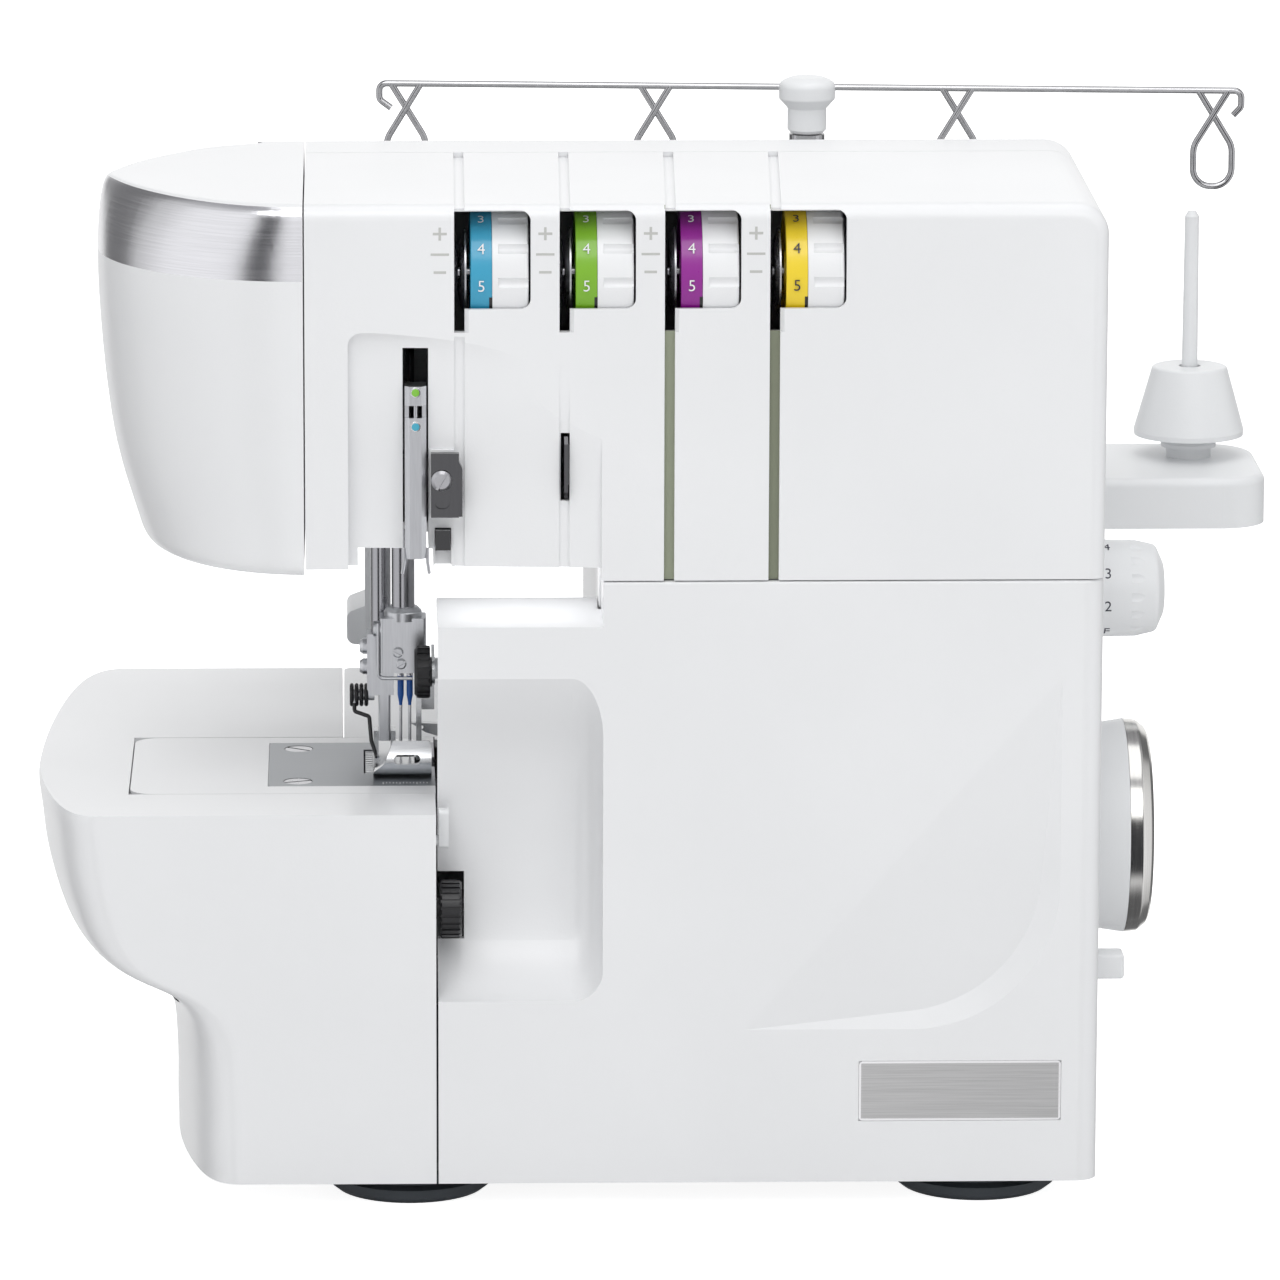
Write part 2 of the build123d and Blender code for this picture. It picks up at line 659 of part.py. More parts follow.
def base_plate():
    inside = casing_wall + seam_gap
    rear = body_depth - inside
    right = body_right - inside
    left = bed_left + inside
    low_step = table_slot_rear - seam_gap
    high_step = table_slot_rear + inside
    plate = outline((-12, 14, 5), (right, 14, 3), (right, rear, rear_round), (left, rear, 2), (left, high_step),
                    (cover_left + seam_gap, high_step), (cover_left + seam_gap, low_step), (-12, low_step, 5))
    base = plan_prism(plate, foot_height, foot_height + base_thickness)
    for x in frame_x:
        base += block((x - 4, x + frame_wall + 4), (46, 114), (foot_height, frame_bottom))
    return base


def main_frame():
    low = frame_bottom
    guide_low = head_underside + 11.4       # underside of the bars' lower guide
    left_wall = block((frame_x[0], frame_x[0] + frame_wall), (50, 112), (low, 112))
    right_wall = block((frame_x[1], frame_x[1] + frame_wall), (50, 112), (low, beam_top))
    spine = block((frame_x[0] + 2, frame_x[1] + 2), (104, 112), (low + 8, 60))
    column = block((132, frame_x[1] + 2), (100, 112), (60 - 2, beam_top))
    beam = block((head_left + 4, frame_x[1] + 2), (90, 97), (guide_low, beam_top))
    rear_arm = block((head_left + 4, 140), (96, 112), (222, beam_top))
    front_block = block((notch_left - 2, notch_right + 2), (60, 92), (guide_low, guide_low + 10))
    front_block += block((notch_left - 2, notch_right + 2), (60, 92), (beam_top - 8, beam_top))
    frame = union([left_wall, right_wall, spine, column, beam, rear_arm, front_block])
    for x in slot_x:
        arm = outline((dial_axis_y - 8, slot_bottom - 8), (92, slot_bottom - 24), (92, slot_bottom - 1),
                      (dial_axis_y + 22, slot_bottom + 4), (dial_axis_y + 8, dial_axis_z + 10, 6),
                      (dial_axis_y - 8, dial_axis_z + 10, 6))
        frame += side_prism(arm, x - 7.5, x - 4.5)
    # bracket that reaches under the free arm and carries the knob and the stitch finger lever
    frame += block((19, frame_x[0] + 2), (46, 60), (66, 80))
    frame += block((19, 22.6), (4, 56), (66, 80))
    frame += block((19, 22.6), (4, 26), (66, 115))
    # free arm core, which carries the needle plate's mechanism
    frame += block((arm_left + 12, frame_x[0] + 2), (90, 99), (90, 108))
    frame += rod_y(57.5, 92, *lower_looper_pivot, looper_pin_radius)
    # pin of the presser foot lifter
    middle = (lifter_y[0] + lifter_y[1]) / 2
    frame += rod_x(lifter_x[0] - 1, lifter_x[1] + 6, middle, lifter_pivot_z, lifter_pin_radius)
    frame += block((lifter_x[1] + clear_gap, lifter_x[1] + 6), (head_seam_y, middle + 4), (lifter_pivot_z - 3, 226))
    frame -= rod_z(200, beam_top + 1, needle_bar_x, needle_y, needle_bar_radius + running_gap)
    frame -= rod_z(200, beam_top + 1, presser_bar_x, presser_bar_y, presser_bar_radius + running_gap)
    for x in frame_x:
        frame -= rod_x(x - 1, x + frame_wall + 1, shaft_y, shaft_z, bush_radius)
    for x in slot_x:
        frame -= rod_x(x - 8, x - 4, dial_axis_y, dial_axis_z, post_radius)
    frame -= rod_x(18, 24, knob_y, knob_z, knob_stub_radius + running_gap)
    frame -= rod_x(18, 24, finger_y, finger_z, finger_stub_radius + running_gap)
    return frame


beam_top = 258.0
post_radius = 2.0


def shaft_bushes():
    pieces = []
    for x in frame_x:
        bush = rod_x(x, x + frame_wall, shaft_y, shaft_z, bush_radius)
        pieces.append(bush - rod_x(x - 1, x + frame_wall + 1, shaft_y, shaft_z, shaft_radius + running_gap))
    return group(pieces)


# ---------------------------------------------------------------- thread tension
disc_radius = 13.0


def tension_posts():
    """Post of each dial, from the frame's arm through the discs into the wheel."""
    reach = dial_first_gap + dial_ring_width + dial_wheel_width - 3
    return group([rod_x(x - 7.5, x + reach, dial_axis_y, dial_axis_z, post_radius) for x in slot_x])


def tension_discs():
    """Pair of dished discs that pinches the thread in each slot, and the cup spring behind them."""
    pieces = []
    for x in slot_x:
        for side in (-1, 1):
            plane = Plane((x, dial_axis_y, dial_axis_z), z_dir=(side, 0, 0))
            pieces.append(turned(plane, (post_radius, 0.3), (disc_radius - 4, 0.3), (disc_radius, 1.6),
                                 (disc_radius, 2.1), (disc_radius - 4, 0.9), (post_radius, 0.9)))
        spring = Plane((x - 1, dial_axis_y, dial_axis_z), z_dir=(-1, 0, 0))
        pieces.append(turned(spring, (post_radius, 0.1), (5.0, 0.1), (7.0, 3.2), (6.2, 3.2), (4.4, 0.8),
                             (post_radius, 0.8)))
    return group(pieces)


flute_count = 12


def tension_dial(x):
    """Fluted wheel with its number ring, turning on the post."""
    start = x + dial_first_gap
    middle = start + dial_ring_width
    end = middle + dial_wheel_width
    axis = Plane((0, dial_axis_y, dial_axis_z), z_dir=(1, 0, 0))
    hole = post_radius + running_gap
    wheel = turned(axis, (hole, start), (6, start), (6, middle - 2), (dial_radius - 1.2, middle - 2),
                   (dial_radius - 1.2, middle), (dial_radius, middle), (dial_radius, end - 0.4),
                   (dial_radius - 0.4, end), (dial_radius - 4, end), (dial_radius - 4, middle + 1),
                   (hole, middle + 1))
    for i in range(flute_count):
        angle = 360 / flute_count * i
        flute = Rot(angle, 0, 0) * Pos(end - 4.1, 0, dial_radius + 0.85) * Rot(0, 90, 0) * Cylinder(1.75, 9.2)
        wheel -= Pos(0, dial_axis_y, dial_axis_z) * flute
    ring = turned(axis, (dial_radius - 3, start), (dial_radius - 0.5, start, 0.3), (dial_radius - 0.3, middle - 0.1),
                  (dial_radius - 1.15, middle - 0.1), (dial_radius - 1.15, middle - 2.1), (dial_radius - 3, middle - 2.1))
    return group([wheel, ring])


# ---------------------------------------------------------------- needle bar and presser bar
clamp_x = (7.9, 21.6)
clamp_y = (needle_y - 5.0, needle_y + 4.4)
clamp_z = (147.8, 164.4)
needle_tip = bed_top + 1.2
needle_bar_top = 272.0


def needle_bar():
    return rod_z(clamp_z[1] - 9, needle_bar_top, needle_bar_x, needle_y, needle_bar_radius)


def needle_clamp():
    clamp = block(clamp_x, clamp_y, clamp_z)
    clamp = fillet(clamp.edges().filter_by(Axis.Z), 0.8)
    clamp += turned(Plane((needle_bar_x, needle_y, clamp_z[1])), (0, -1), (5.6, -1), (5.6, 1.6, 0.8), (4.4, 2.8),
                    (0, 2.8))
    clamp -= rod_z(clamp_z[1] - 9, clamp_z[1] + 4, needle_bar_x, needle_y, needle_bar_radius)
    for i in range(2):
        clamp -= rod_z(clamp_z[0] - 1, clamp_z[0] + 6, needle_x + i * needle_pitch, needle_y, 1.0)
        plane = Plane((13.2 + 0.9 * i, clamp_y[0], 154.2 - 3.5 * i), x_dir=(1, 0, 0), z_dir=(0, -1, 0))
        clamp += slotted_screw(plane, 1.6, 0.9, 1.0, 0.5, -25 + 55 * i)
    # wire guide down the left side and under the clamp
    path = FilletPolyline((clamp_x[0] - 0.5, clamp_y[0] + 0.6, clamp_z[1] - 1.5), (clamp_x[0] - 0.5, clamp_y[0] + 0.6, clamp_z[0] - 1.6),
                          (17.5, clamp_y[0] + 0.2, clamp_z[0] - 1.6), radius=1.6)
    clamp += wire(path, 0.55)
    clamp += rod_x(clamp_x[0] - 2.0, clamp_x[0] + 1, needle_y - 2.5, clamp_z[1] - 3.5, 2.3)
    return clamp


def needles():
    pieces = []
    for i in range(2):
        x = needle_x + i * needle_pitch
        plane = Plane((x, needle_y, 0))
        top = clamp_z[0] + 5.8
        pieces.append(turned(plane, (0, needle_tip), (0.45, needle_tip + 3), (0.5, clamp_z[0] - 10), (0.95, clamp_z[0] - 7.5),
                             (0.95, top), (0, top)))
    return group(pieces)


foot_left = 5.7
foot_right = 23.0
foot_sole_right = 17.9
foot_toe_y = 47.0
foot_heel_y = 92.0
foot_sole = 2.0
foot_rest = bed_top + 0.1
presser_bar_top = 268.0
ankle_z = (123.8, 133.0)


def presser_bar():
    return rod_z(ankle_z[1] + 8, presser_bar_top, presser_bar_x, presser_bar_y, presser_bar_radius)


def presser_foot():
    """Sole with needle opening and an upturned toe plate with its slot."""
    low = foot_rest
    sole = block((foot_left, foot_sole_right), (foot_toe_y + 5, foot_heel_y), (low, low + foot_sole))
    toe_profile = make_face([
        Spline((foot_toe_y + 6.5, low), (foot_toe_y + 1.8, low + 1.4), (foot_toe_y + 0.4, low + 4.6),
               (foot_toe_y + 2.6, low + 10.9), tangents=[(-1, 0), (0.3, 1)]),
        Polyline((foot_toe_y + 2.6, low + 10.9), (foot_toe_y + 4.4, low + 10.6)),
        Spline((foot_toe_y + 4.4, low + 10.6), (foot_toe_y + 2.3, low + 5.0), (foot_toe_y + 6.5, low + 2.0),
               tangents=[(-0.3, -1), (1, -0.1)]),
        Line((foot_toe_y + 6.5, low + 2.0), (foot_toe_y + 6.5, low)),
    ])
    toe = side_prism(toe_profile, foot_left, foot_right)
    shape = outline((foot_left, low - 1), (foot_right, low - 1), (foot_right, low + 12, 3.4),
                    (foot_left + 6.4, low + 12, 3), (foot_left + 3.2, low + 4.2, 4), (foot_left, low + 1.6, 1))
    toe = toe & front_prism(shape, foot_toe_y - 2, foot_toe_y + 14)
    opening = outline((foot_left + 6.2, low + 4.2, 1.2), (foot_right - 3.4, low + 4.2, 1.2),
                      (foot_right - 3.4, low + 7.0, 1.2), (foot_left + 6.2, low + 7.0, 1.2))
    toe -= front_prism(opening, foot_toe_y - 2, foot_toe_y + 14)
    foot = sole + toe
    foot -= block((needle_x - 1.4, foot_sole_right - 0.001 + 1), needle_slot_y, (low - 1, low + 4))
    for side in (0, 1):
        x = ankle_x[0] - 1.5 + side * (ankle_x[1] - ankle_x[0] + 1.5)
        foot += block((x, x + 1.5), (presser_bar_y - 3, presser_bar_y + 3), (low + 1, ankle_z[0] + 4))
    return foot - rod_x(foot_left, foot_right, presser_bar_y, ankle_z[0] + 2.6, ankle_pin_radius + running_gap)


ankle_x = (7.4, 11.0)
ankle_pin_radius = 0.9
presser_clamp_x = 4.0


def foot_holder():
    """Shank plate from the presser bar down to the foot's pin, with its spring on the left."""
    sides = (presser_bar_y - presser_bar_radius - 1.2, presser_bar_y + presser_bar_radius + 1.2)
    shank = block(ankle_x, sides, (ankle_z[0] + 1.2, 157.6))
    shank = fillet(shank.edges().filter_by(Axis.Z), 0.6)
    shank += block((presser_clamp_x, presser_bar_x + presser_bar_radius + 0.8), sides, (ankle_z[1] + 6, 157.6))
    shank -= rod_z(ankle_z[1] + 8, 160, presser_bar_x, presser_bar_y, presser_bar_radius)
    shank += rod_x(ankle_x[0] - 1.4, ankle_x[1] + 1.4, presser_bar_y, ankle_z[0] + 2.6, ankle_pin_radius)
    for z in (153.2, 147.0):
        plane = Plane((presser_clamp_x, presser_bar_y, z), z_dir=(-1, 0, 0))
        shank += turned(plane, (0, -0.3), (2.4, -0.3), (2.4, 1.2), (1.7, 2.2), (0, 2.2))
    shank += rod_x(-1.2, 6.2, needle_y + 7.5, 138.6, 1.7)
    path = FilletPolyline((0.2, needle_y + 6.0, 138.6), (0.2, needle_y + 3.5, 134.4), (4.6, needle_y, 133.6),
                          (5.2, needle_y - 4, 127), (6.9, needle_y - 8, 122.9), radius=1.2)
    return shank + wire(path, 0.6)


spring_turns = 9


def presser_spring():
    """Coil spring round the presser bar, between the frame's two bearing blocks."""
    low = 216.0
    high = beam_top - 10
    radius = presser_bar_radius + 1.5
    helix = Helix(pitch=(high - low) / spring_turns, height=high - low, radius=radius)
    coil = sweep(Plane(helix @ 0, z_dir=helix % 0) * Circle(0.7), path=helix)
    return Pos(presser_bar_x, presser_bar_y, low) * coil


lifter_z = 152.0
lifter_x = (3.5, 8.5)
lifter_y = (head_seam_y + 12.0, head_seam_y + 20.0)
lifter_pivot_z = 206.0
lifter_pin_radius = 2.0


def presser_lifter():
    """Lever behind the presser bar, which turns on a pin inside the head."""
    lobe = outline((-2.0, lifter_z - 5.5, 2.5), (9.0, lifter_z - 6.5, 2.5), (9.0, lifter_z + 7.5, 2.5),
                   (4.5, lifter_z + 6.5, 4), (-2.0, lifter_z + 4.0, 2.5))
    lever = front_prism(lobe, lifter_y[0] + 2, head_depth + 8)
    middle = (lifter_y[0] + lifter_y[1]) / 2
    neck = block(lifter_x, lifter_y, (lifter_z - 4, lifter_pivot_z))
    neck += rod_x(*lifter_x, middle, lifter_pivot_z, (lifter_y[1] - lifter_y[0]) / 2)
    return lever + neck - rod_x(lifter_x[0] - 1, lifter_x[1] + 1, middle, lifter_pivot_z, lifter_pin_radius + running_gap)


# ---------------------------------------------------------------- take-up and head thread guides
takeup_x = (15.0, 21.2)
takeup_y = (-1.8, 2.6)
takeup_z = (196.0, 246.6)
takeup_gap_z = (237.4, 241.0)


def take_up_cover():
    side = outline((takeup_x[0], takeup_y[0] + 1.4), (takeup_x[0] + 1.4, takeup_y[0]), (takeup_x[1] - 1.4, takeup_y[0]),
                   (takeup_x[1], takeup_y[0] + 1.4), (takeup_x[1], takeup_y[1] + 4), (takeup_x[0], takeup_y[1] + 4))
    bar = plan_prism(side, *takeup_z)
    bar -= plan_prism(Pos(0, 1.2) * side, takeup_z[0] + 1.4, takeup_z[1] - 1) & block(
        (takeup_x[0] + 1.2, takeup_x[1] - 1.2), (-5, 20), (0, body_top))
    bar -= block((takeup_x[0] - 1, takeup_x[1] + 1), (takeup_y[0] - 1, takeup_y[0] + 2.2), takeup_gap_z)
    bar += rod_z(takeup_gap_z[0] - 1, takeup_gap_z[1] + 1, (takeup_x[0] + takeup_x[1]) / 2, takeup_y[0] + 0.6, 0.5)
    for z in (takeup_z[1] - 2.8, takeup_gap_z[0] - 4.4):
        bar += rod_y(takeup_y[0] - 0.3, takeup_y[0] + 1.4, (takeup_x[0] + takeup_x[1]) / 2, z, 1.4)
    for x, lean in ((takeup_x[0] - 0.3, -0.5), (takeup_x[1] + 0.3, 0.5)):
        path = FilletPolyline((x, 0, takeup_z[0] + 3), (x, -0.6, takeup_z[0] - 1), (x + lean, 0.4, takeup_z[0] - 4.6),
                              radius=0.9)
        bar += wire(path, 0.5)
    # tail that links the cover to the needle bar's drive inside the head
    bar += block((takeup_x[0] + 0.6, takeup_x[1] - 0.6), (takeup_y[1], 30), (takeup_z[0] + 16, takeup_z[0] + 22))
    return bar


guide_plate_y = 0.9
guide_screw_x = 25.6
guide_screw_z = 218.9


def head_thread_guides():
    plate = outline((22.5, 208.0), (30.6, 208.0), (30.6, 226.8), (22.5, 226.8))
    guide = front_prism(plate, -guide_plate_y, recess_depth)
    opening = outline((23.6, 210.5, 1.9), (28.0, 210.5, 1.9), (28.0, 222.0, 1.9), (23.6, 222.0, 1.9))
    guide -= front_prism(opening, -2, -guide_plate_y + 0.7)
    guide += front_prism(outline((30.6, 208.5), (31.6, 208.5), (31.6, 222.5), (30.6, 224.5)), -guide_plate_y - 1.2, recess_depth)
    guide -= rod_y(-2, recess_depth + 1, guide_screw_x, guide_screw_z, 1.5)
    mid = (guide_slot[0] + guide_slot[1]) / 2
    low, high = guide_slot_z
    edge = outline((-0.8, low + 3), (0.8, low + 1), (front_wall + 4, low + 1), (front_wall + 4, high - 1),
                   (0.8, high - 1), (-0.8, high - 3))
    clip = side_prism(edge, mid - 0.3, mid + 0.8)
    clip += block((mid - 0.3, mid + 10), (front_wall + 2, front_wall + 4), (low + 4, high - 4))
    clip += block((mid + 6, mid + 9), (clip_seat, front_wall + 3), (low + 6, high - 6))
    return group([guide, clip])


def lamp_lens():
    return block((notch_right + seam_gap + 0.2, lamp_right - 0.2), (1.4, 7.8), (notch_top, lamp_top - 0.3))


# ---------------------------------------------------------------- knives, loopers, feed
knife_disc_radius = 7.8
knife_knob_y = needle_y - 15.0
knife_arm = 0.9             # thickness of the arm beside the cover
knife_z = 150.4
knife_lift_share = 0.25


def lower_knife():
    blade = block(lower_knife_x, lower_knife_y, (100, bed_top))
    return blade + block((lower_knife_x[0], frame_x[0]), (lower_knife_y[0] + 2, lower_knife_y[1] - 2), (100, 106))


def upper_knife():
    """Blade, with the arm that goes behind the knob to a slide on the frame's left wall."""
    blade = outline((needle_y - 1.5, bed_top + 1.0), (needle_y + 4, bed_top + 2.5), (needle_y + 4, 135),
                    (needle_y + 9, 137), (needle_y + 9, 142), (needle_y - 1.5, 142))
    knife = side_prism(blade, *upper_knife_x)
    arm_y = (needle_y + 7.6, needle_y + 10)
    arm_right = cover_left - 0.3
    arm_left = arm_right - knife_arm
    knife += block((upper_knife_x[0], arm_right), arm_y, (134, knife_z - 1))
    knife += block((arm_left, arm_right), (knife_knob_y, arm_y[1]), (knife_z - 4, knife_z + 3))
    knife += rod_x(arm_left, arm_right, knife_knob_y, knife_z, 3.5)
    slide = (frame_x[0] + frame_wall + clear_gap, frame_x[0] + frame_wall + 9)
    knife += block((arm_left, slide[1]), arm_y, (knife_z - 7, knife_z - 1))
    return knife + block(slide, arm_y, (shaft_z + 9, knife_z - 1))


def knife_knob():
    left = cover_left - 0.3 - knife_arm - 5.2
    axis = Plane((left, knife_knob_y, knife_z), z_dir=(1, 0, 0))
    knob = turned(axis, (0, 0), (knife_disc_radius - 1.2, 0), (knife_disc_radius, 0.9, 0.8),
                  (knife_disc_radius, 4.7, 0.6), (4.4, 4.7), (4.4, 5.2), (0, 5.2))
    for i in range(20):
        notch = Pos(0, 0, knife_disc_radius + 0.3) * Box(12, 1.0, 1.2)
        knob -= Pos(left, knife_knob_y, knife_z) * Rot(18 * i, 0, 0) * notch
    return knob


def upper_looper():
    """Looper blade that crosses behind the upper knife, on a carrier beside the frame."""
    blade = make_face(Polyline((16.8, 130.6), (21.5, 127.6), (30, 125.0), (44, 123.4), (44, 129), (30, 130), (21, 130.4),
                               close=True))
    looper = front_prism(blade, needle_y + 4.6, needle_y + 7.2)
    looper -= rod_y(needle_y, needle_y + 8, 20.2, 129.2, 0.6)
    looper += block((34, 45), (needle_y - 12, needle_y + 7.2), (123.0, 131))
    return looper + block((34, 45), (needle_y - 12, needle_y - 4), (112 + clear_gap, 131))


lower_looper_pivot = (2.0, 92.0)
looper_pin_radius = 1.5


def lower_looper():
    x, z = lower_looper_pivot
    arm = outline((x - 3, z - 3, 2), (x + 3, z - 3, 2), (x + 3, z + 16), (x + 15, z + 18.6), (x + 15, z + 19.4),
                  (x - 3, z + 20.4, 2))
    looper = front_prism(arm, 59, 62)
    return looper - rod_y(58, 63, x, z, looper_pin_radius + running_gap)


def feed_dogs():
    low = bed_top - 6
    dogs = block((feed_x[0], feed_x[1] - 0.4), (feed_y[0] + 3, feed_y[1] - 3), (low, bed_top - 2.6))
    for x in (feed_x[0], (feed_x[0] + feed_x[1]) / 2 + 0.4 + 0.5):
        row = block((x, x + 2.9), feed_y, (bed_top - 4, bed_top - 0.3))
        for i in range(12):
            row -= Pos(x, feed_y[0] + 2.5 * i + 1.2, bed_top - 0.3) * Rot(45, 0, 0) * Box(8, 0.9, 0.9)
        dogs += row
    return dogs


# ---------------------------------------------------------------- small controls at the scoop
knob_y = 11.4
knob_z = 88.6
knob_radius = 8.6
knob_stub_radius = 2.5
finger_y = 13.0
finger_z = 109.0
finger_stub_radius = 1.6


def cutting_width_knob():
    start = cover_left + 0.6
    axis = Plane((0, knob_y, knob_z), z_dir=(1, 0, 0))
    knob = turned(axis, (0, 19.5), (knob_stub_radius, 19.5), (knob_stub_radius, start), (knob_radius - 0.6, start),
                  (knob_radius, start + 0.6), (knob_radius, start + 5.6), (knob_radius - 0.8, start + 6.4), (0, start + 6.4))
    for i in range(24):
        knob -= Pos(start + 3.2, knob_y, knob_z) * Rot(15 * i, 0, 0) * Pos(0, 0, knob_radius + 0.2) * Box(8, 0.9, 1.2)
    return knob


def stitch_finger_lever():
    lever = rod_x(19.6, 25.0, finger_y, finger_z, finger_stub_radius)
    handle = outline((finger_y - 2.2, finger_z - 2, 1), (finger_y + 2.2, finger_z - 2, 1), (finger_y + 2.2, finger_z + 9.5, 1.2),
                     (finger_y - 2.2, finger_z + 9.5, 1.2))
    return lever + side_prism(handle, cover_left + 0.3, cover_left + 3.2)


# ---------------------------------------------------------------- right side
length_dial_y = 60.0
length_dial_z = 174.0
length_dial_radius = 14.5
length_stub_radius = 4.0
switch_y = (100.0, 114.0)
switch_z = (52.5, 64.5)
switch_pivot_depth = 2.6
switch_pivot_radius = 1.2
inlet_y = (body_depth - 68.0, body_depth - 38.0)
inlet_z = (21.0, 41.0)


def stitch_length_dial():
    axis = Plane((body_right, length_dial_y, length_dial_z), z_dir=(1, 0, 0))
    dial = turned(axis, (0, -6), (length_stub_radius, -6), (length_stub_radius, 0.5), (length_dial_radius - 0.6, 0.5),
                  (length_dial_radius, 1.2), (length_dial_radius - 0.2, 14.0), (length_dial_radius - 1.6, 20.0, 2),
                  (length_dial_radius - 7, 22.4, 4), (0, 22.4))
    for i in range(16):
        flute = Rot(22.5 * i, 0, 0) * Pos(body_right + 18, 0, length_dial_radius + 1.6) * Rot(0, 90, 0) * Cylinder(2.3, 12)
        dial -= Pos(0, length_dial_y, length_dial_z) * flute
    return dial


def main_shaft():
    return rod_x(frame_x[0] - 6, hub_start + 8, shaft_y, shaft_z, shaft_radius)


hub_start = body_right + 1.0


def handwheel_hub():
    axis = Plane((hub_start, shaft_y, shaft_z), z_dir=(1, 0, 0))
    radius = handwheel_radius
    hub = turned(axis, (shaft_radius, 0), (radius - 4, 0), (radius - 1.5, 2.5, 1), (radius, 12.0), (radius - 4, 12.0),
                 (radius - 4, 16), (12, 16), (12, 17), (0, 17), (0, 8), (shaft_radius, 8))
    return hub


def handwheel_ring():
    start = hub_start + 12.0
    axis = Plane((0, shaft_y, shaft_z), z_dir=(1, 0, 0))
    radius = handwheel_radius
    return turned(axis, (radius - 4, start + 0.1), (radius, start + 0.1), (radius - 0.4, start + 4.0, 1.5),
                  (radius - 2.4, handwheel_reach - 0.8, 1.0), (radius - 4, handwheel_reach), (12.2, handwheel_reach - 0.3),
                  (12.2, start + 4.1), (radius - 4, start + 4.1))


pulley_x = (body_right - 18.0, body_right - 10.0)
belt_pulley_radius = 30.0
motor_y = body_depth - 38.0
motor_z = 56.0
motor_radius = 30.0
motor_x = (104.0, body_right - 26.0)
motor_pulley_radius = 8.0


def pulley(radius, bore, y, z):
    axis = Plane((0, y, z), z_dir=(1, 0, 0))
    low, high = pulley_x
    return turned(axis, (bore, low - 1.5), (radius + 1.5, low - 1.5), (radius + 1.5, low - 0.3), (radius - groove_drop, low + 1),
                  (radius - groove_drop, high - 1), (radius + 1.5, high + 0.3), (radius + 1.5, high + 1.5), (bore, high + 1.5))


def belt_pulley():
    return pulley(belt_pulley_radius, shaft_radius, shaft_y, shaft_z)


def motor_pulley():
    stub = rod_x(motor_x[1] - 6, pulley_x[1] + 3, motor_y, motor_z, 3.0)
    return pulley(motor_pulley_radius, 3.0, motor_y, motor_z) + stub


belt_thickness = 2.0
groove_drop = 1.0


def belt_loop(grow):
    """Plan of the belt round both pulleys, as a hull of two circles."""
    circles = [Pos(shaft_y, shaft_z) * Circle(belt_pulley_radius + grow),
               Pos(motor_y, motor_z) * Circle(motor_pulley_radius + grow)]
    edges = [e for c in circles for e in c.edges()]
    return make_hull(edges)


def drive_belt():
    low, high = pulley_x
    seat = clear_gap - 0.1 - groove_drop
    outer = side_prism(belt_loop(seat + belt_thickness), low + 1.6, high - 1.6)
    return outer - side_prism(belt_loop(seat), low, high)


def motor():
    axis = Plane((0, motor_y, motor_z), z_dir=(1, 0, 0))
    low, high = motor_x
    body = turned(axis, (0, low), (motor_radius - 6, low), (motor_radius, low + 5), (motor_radius, high - 14),
                  (motor_radius - 6, high - 8), (10, high - 8), (10, high), (3.0 + running_gap, high),
                  (3.0 + running_gap, high - 8), (0, high - 8))
    for x in (low + 16, high - 30):
        body += block((x, x + 12), (motor_y - 14, motor_y + 14), (foot_height + 3, motor_z - motor_radius + 6))
    return body


def power_switch():
    """Rocker that tips up and down in its frame."""
    y0, y1 = switch_y
    z0, z1 = switch_z
    middle = (z0 + z1) / 2
    profile = outline((body_right - 4, middle - 3), (body_right + 3, middle - 3.6), (body_right + 8.6, middle - 4.2, 1.2),
                      (body_right + 8.0, middle - 0.5, 1.5), (body_right + 8.6, middle + 4.2, 1.2),
                      (body_right + 3, middle + 3.6), (body_right - 4, middle + 3))
    pivot = rod_y(y0 + 0.3, y1 - 0.3, body_right - switch_pivot_depth, middle, switch_pivot_radius)
    return front_prism(profile, y0 + 2, y1 - 2) + pivot


def switch_bezel():
    y0, y1 = switch_y
    z0, z1 = switch_z
    frame = block((body_right + 0.1, body_right + 2.2), (y0 - 3, y1 + 3), (z0 - 3, z1 + 3))
    frame = fillet(frame.edges().filter_by(Axis.X), 2)
    frame += block((body_right - 5, body_right + 1), (y0 + 0.1, y1 - 0.1), (z0 + 0.1, z1 - 0.1))
    frame -= block((body_right - 6, body_right + 8), (y0 + 1.4, y1 - 1.4), (z0 + 1.2, z1 - 1.2))
    return frame - rod_y(y0, y1, body_right - switch_pivot_depth, (z0 + z1) / 2, switch_pivot_radius + running_gap)


def power_inlet():
    y0, y1 = inlet_y
    z0, z1 = inlet_z
    body = block((body_right - 22, body_right + 0.6), (y0 + 0.2, y1 - 0.2), (z0 + 0.2, z1 - 0.2))
    body += block((body_right + 0.1, body_right + 1.2), (y0 - 3, y1 + 3), (z0 - 3, z1 + 3))
    well = block((body_right - 14, body_right + 2), (y0 + 4, y1 - 4), (z0 + 3.5, z1 - 3.5))
    body -= well
    for y in (-7, 0, 7):
        body += rod_x(body_right - 15, body_right - 4, (y0 + y1) / 2 + y, (z0 + z1) / 2, 1.2)
    return body


# ---------------------------------------------------------------- thread stand, pins, mast, guides
stand_front = body_depth - 44.0
lobe_radius = 21.3
mast_travel = 95.0
tube_radius = 5.6
middle_radius = 4.3
rod_radius = 3.2
guide_wire_radius = 1.0
guide_bar_z = 307.0
guide_bar_turn = 4.5        # the bar is turned a little on the mast, in degrees


def stand_plan(inset):
    left = pin_x[0] - lobe_radius + inset
    right = stand_right - inset
    bar = outline((left, stand_front + inset, 14 - inset), (right, stand_front + inset, 14 - inset),
                  (right, stand_rear - inset, 16 - inset), (left, stand_rear - inset, 16 - inset))
    return bar


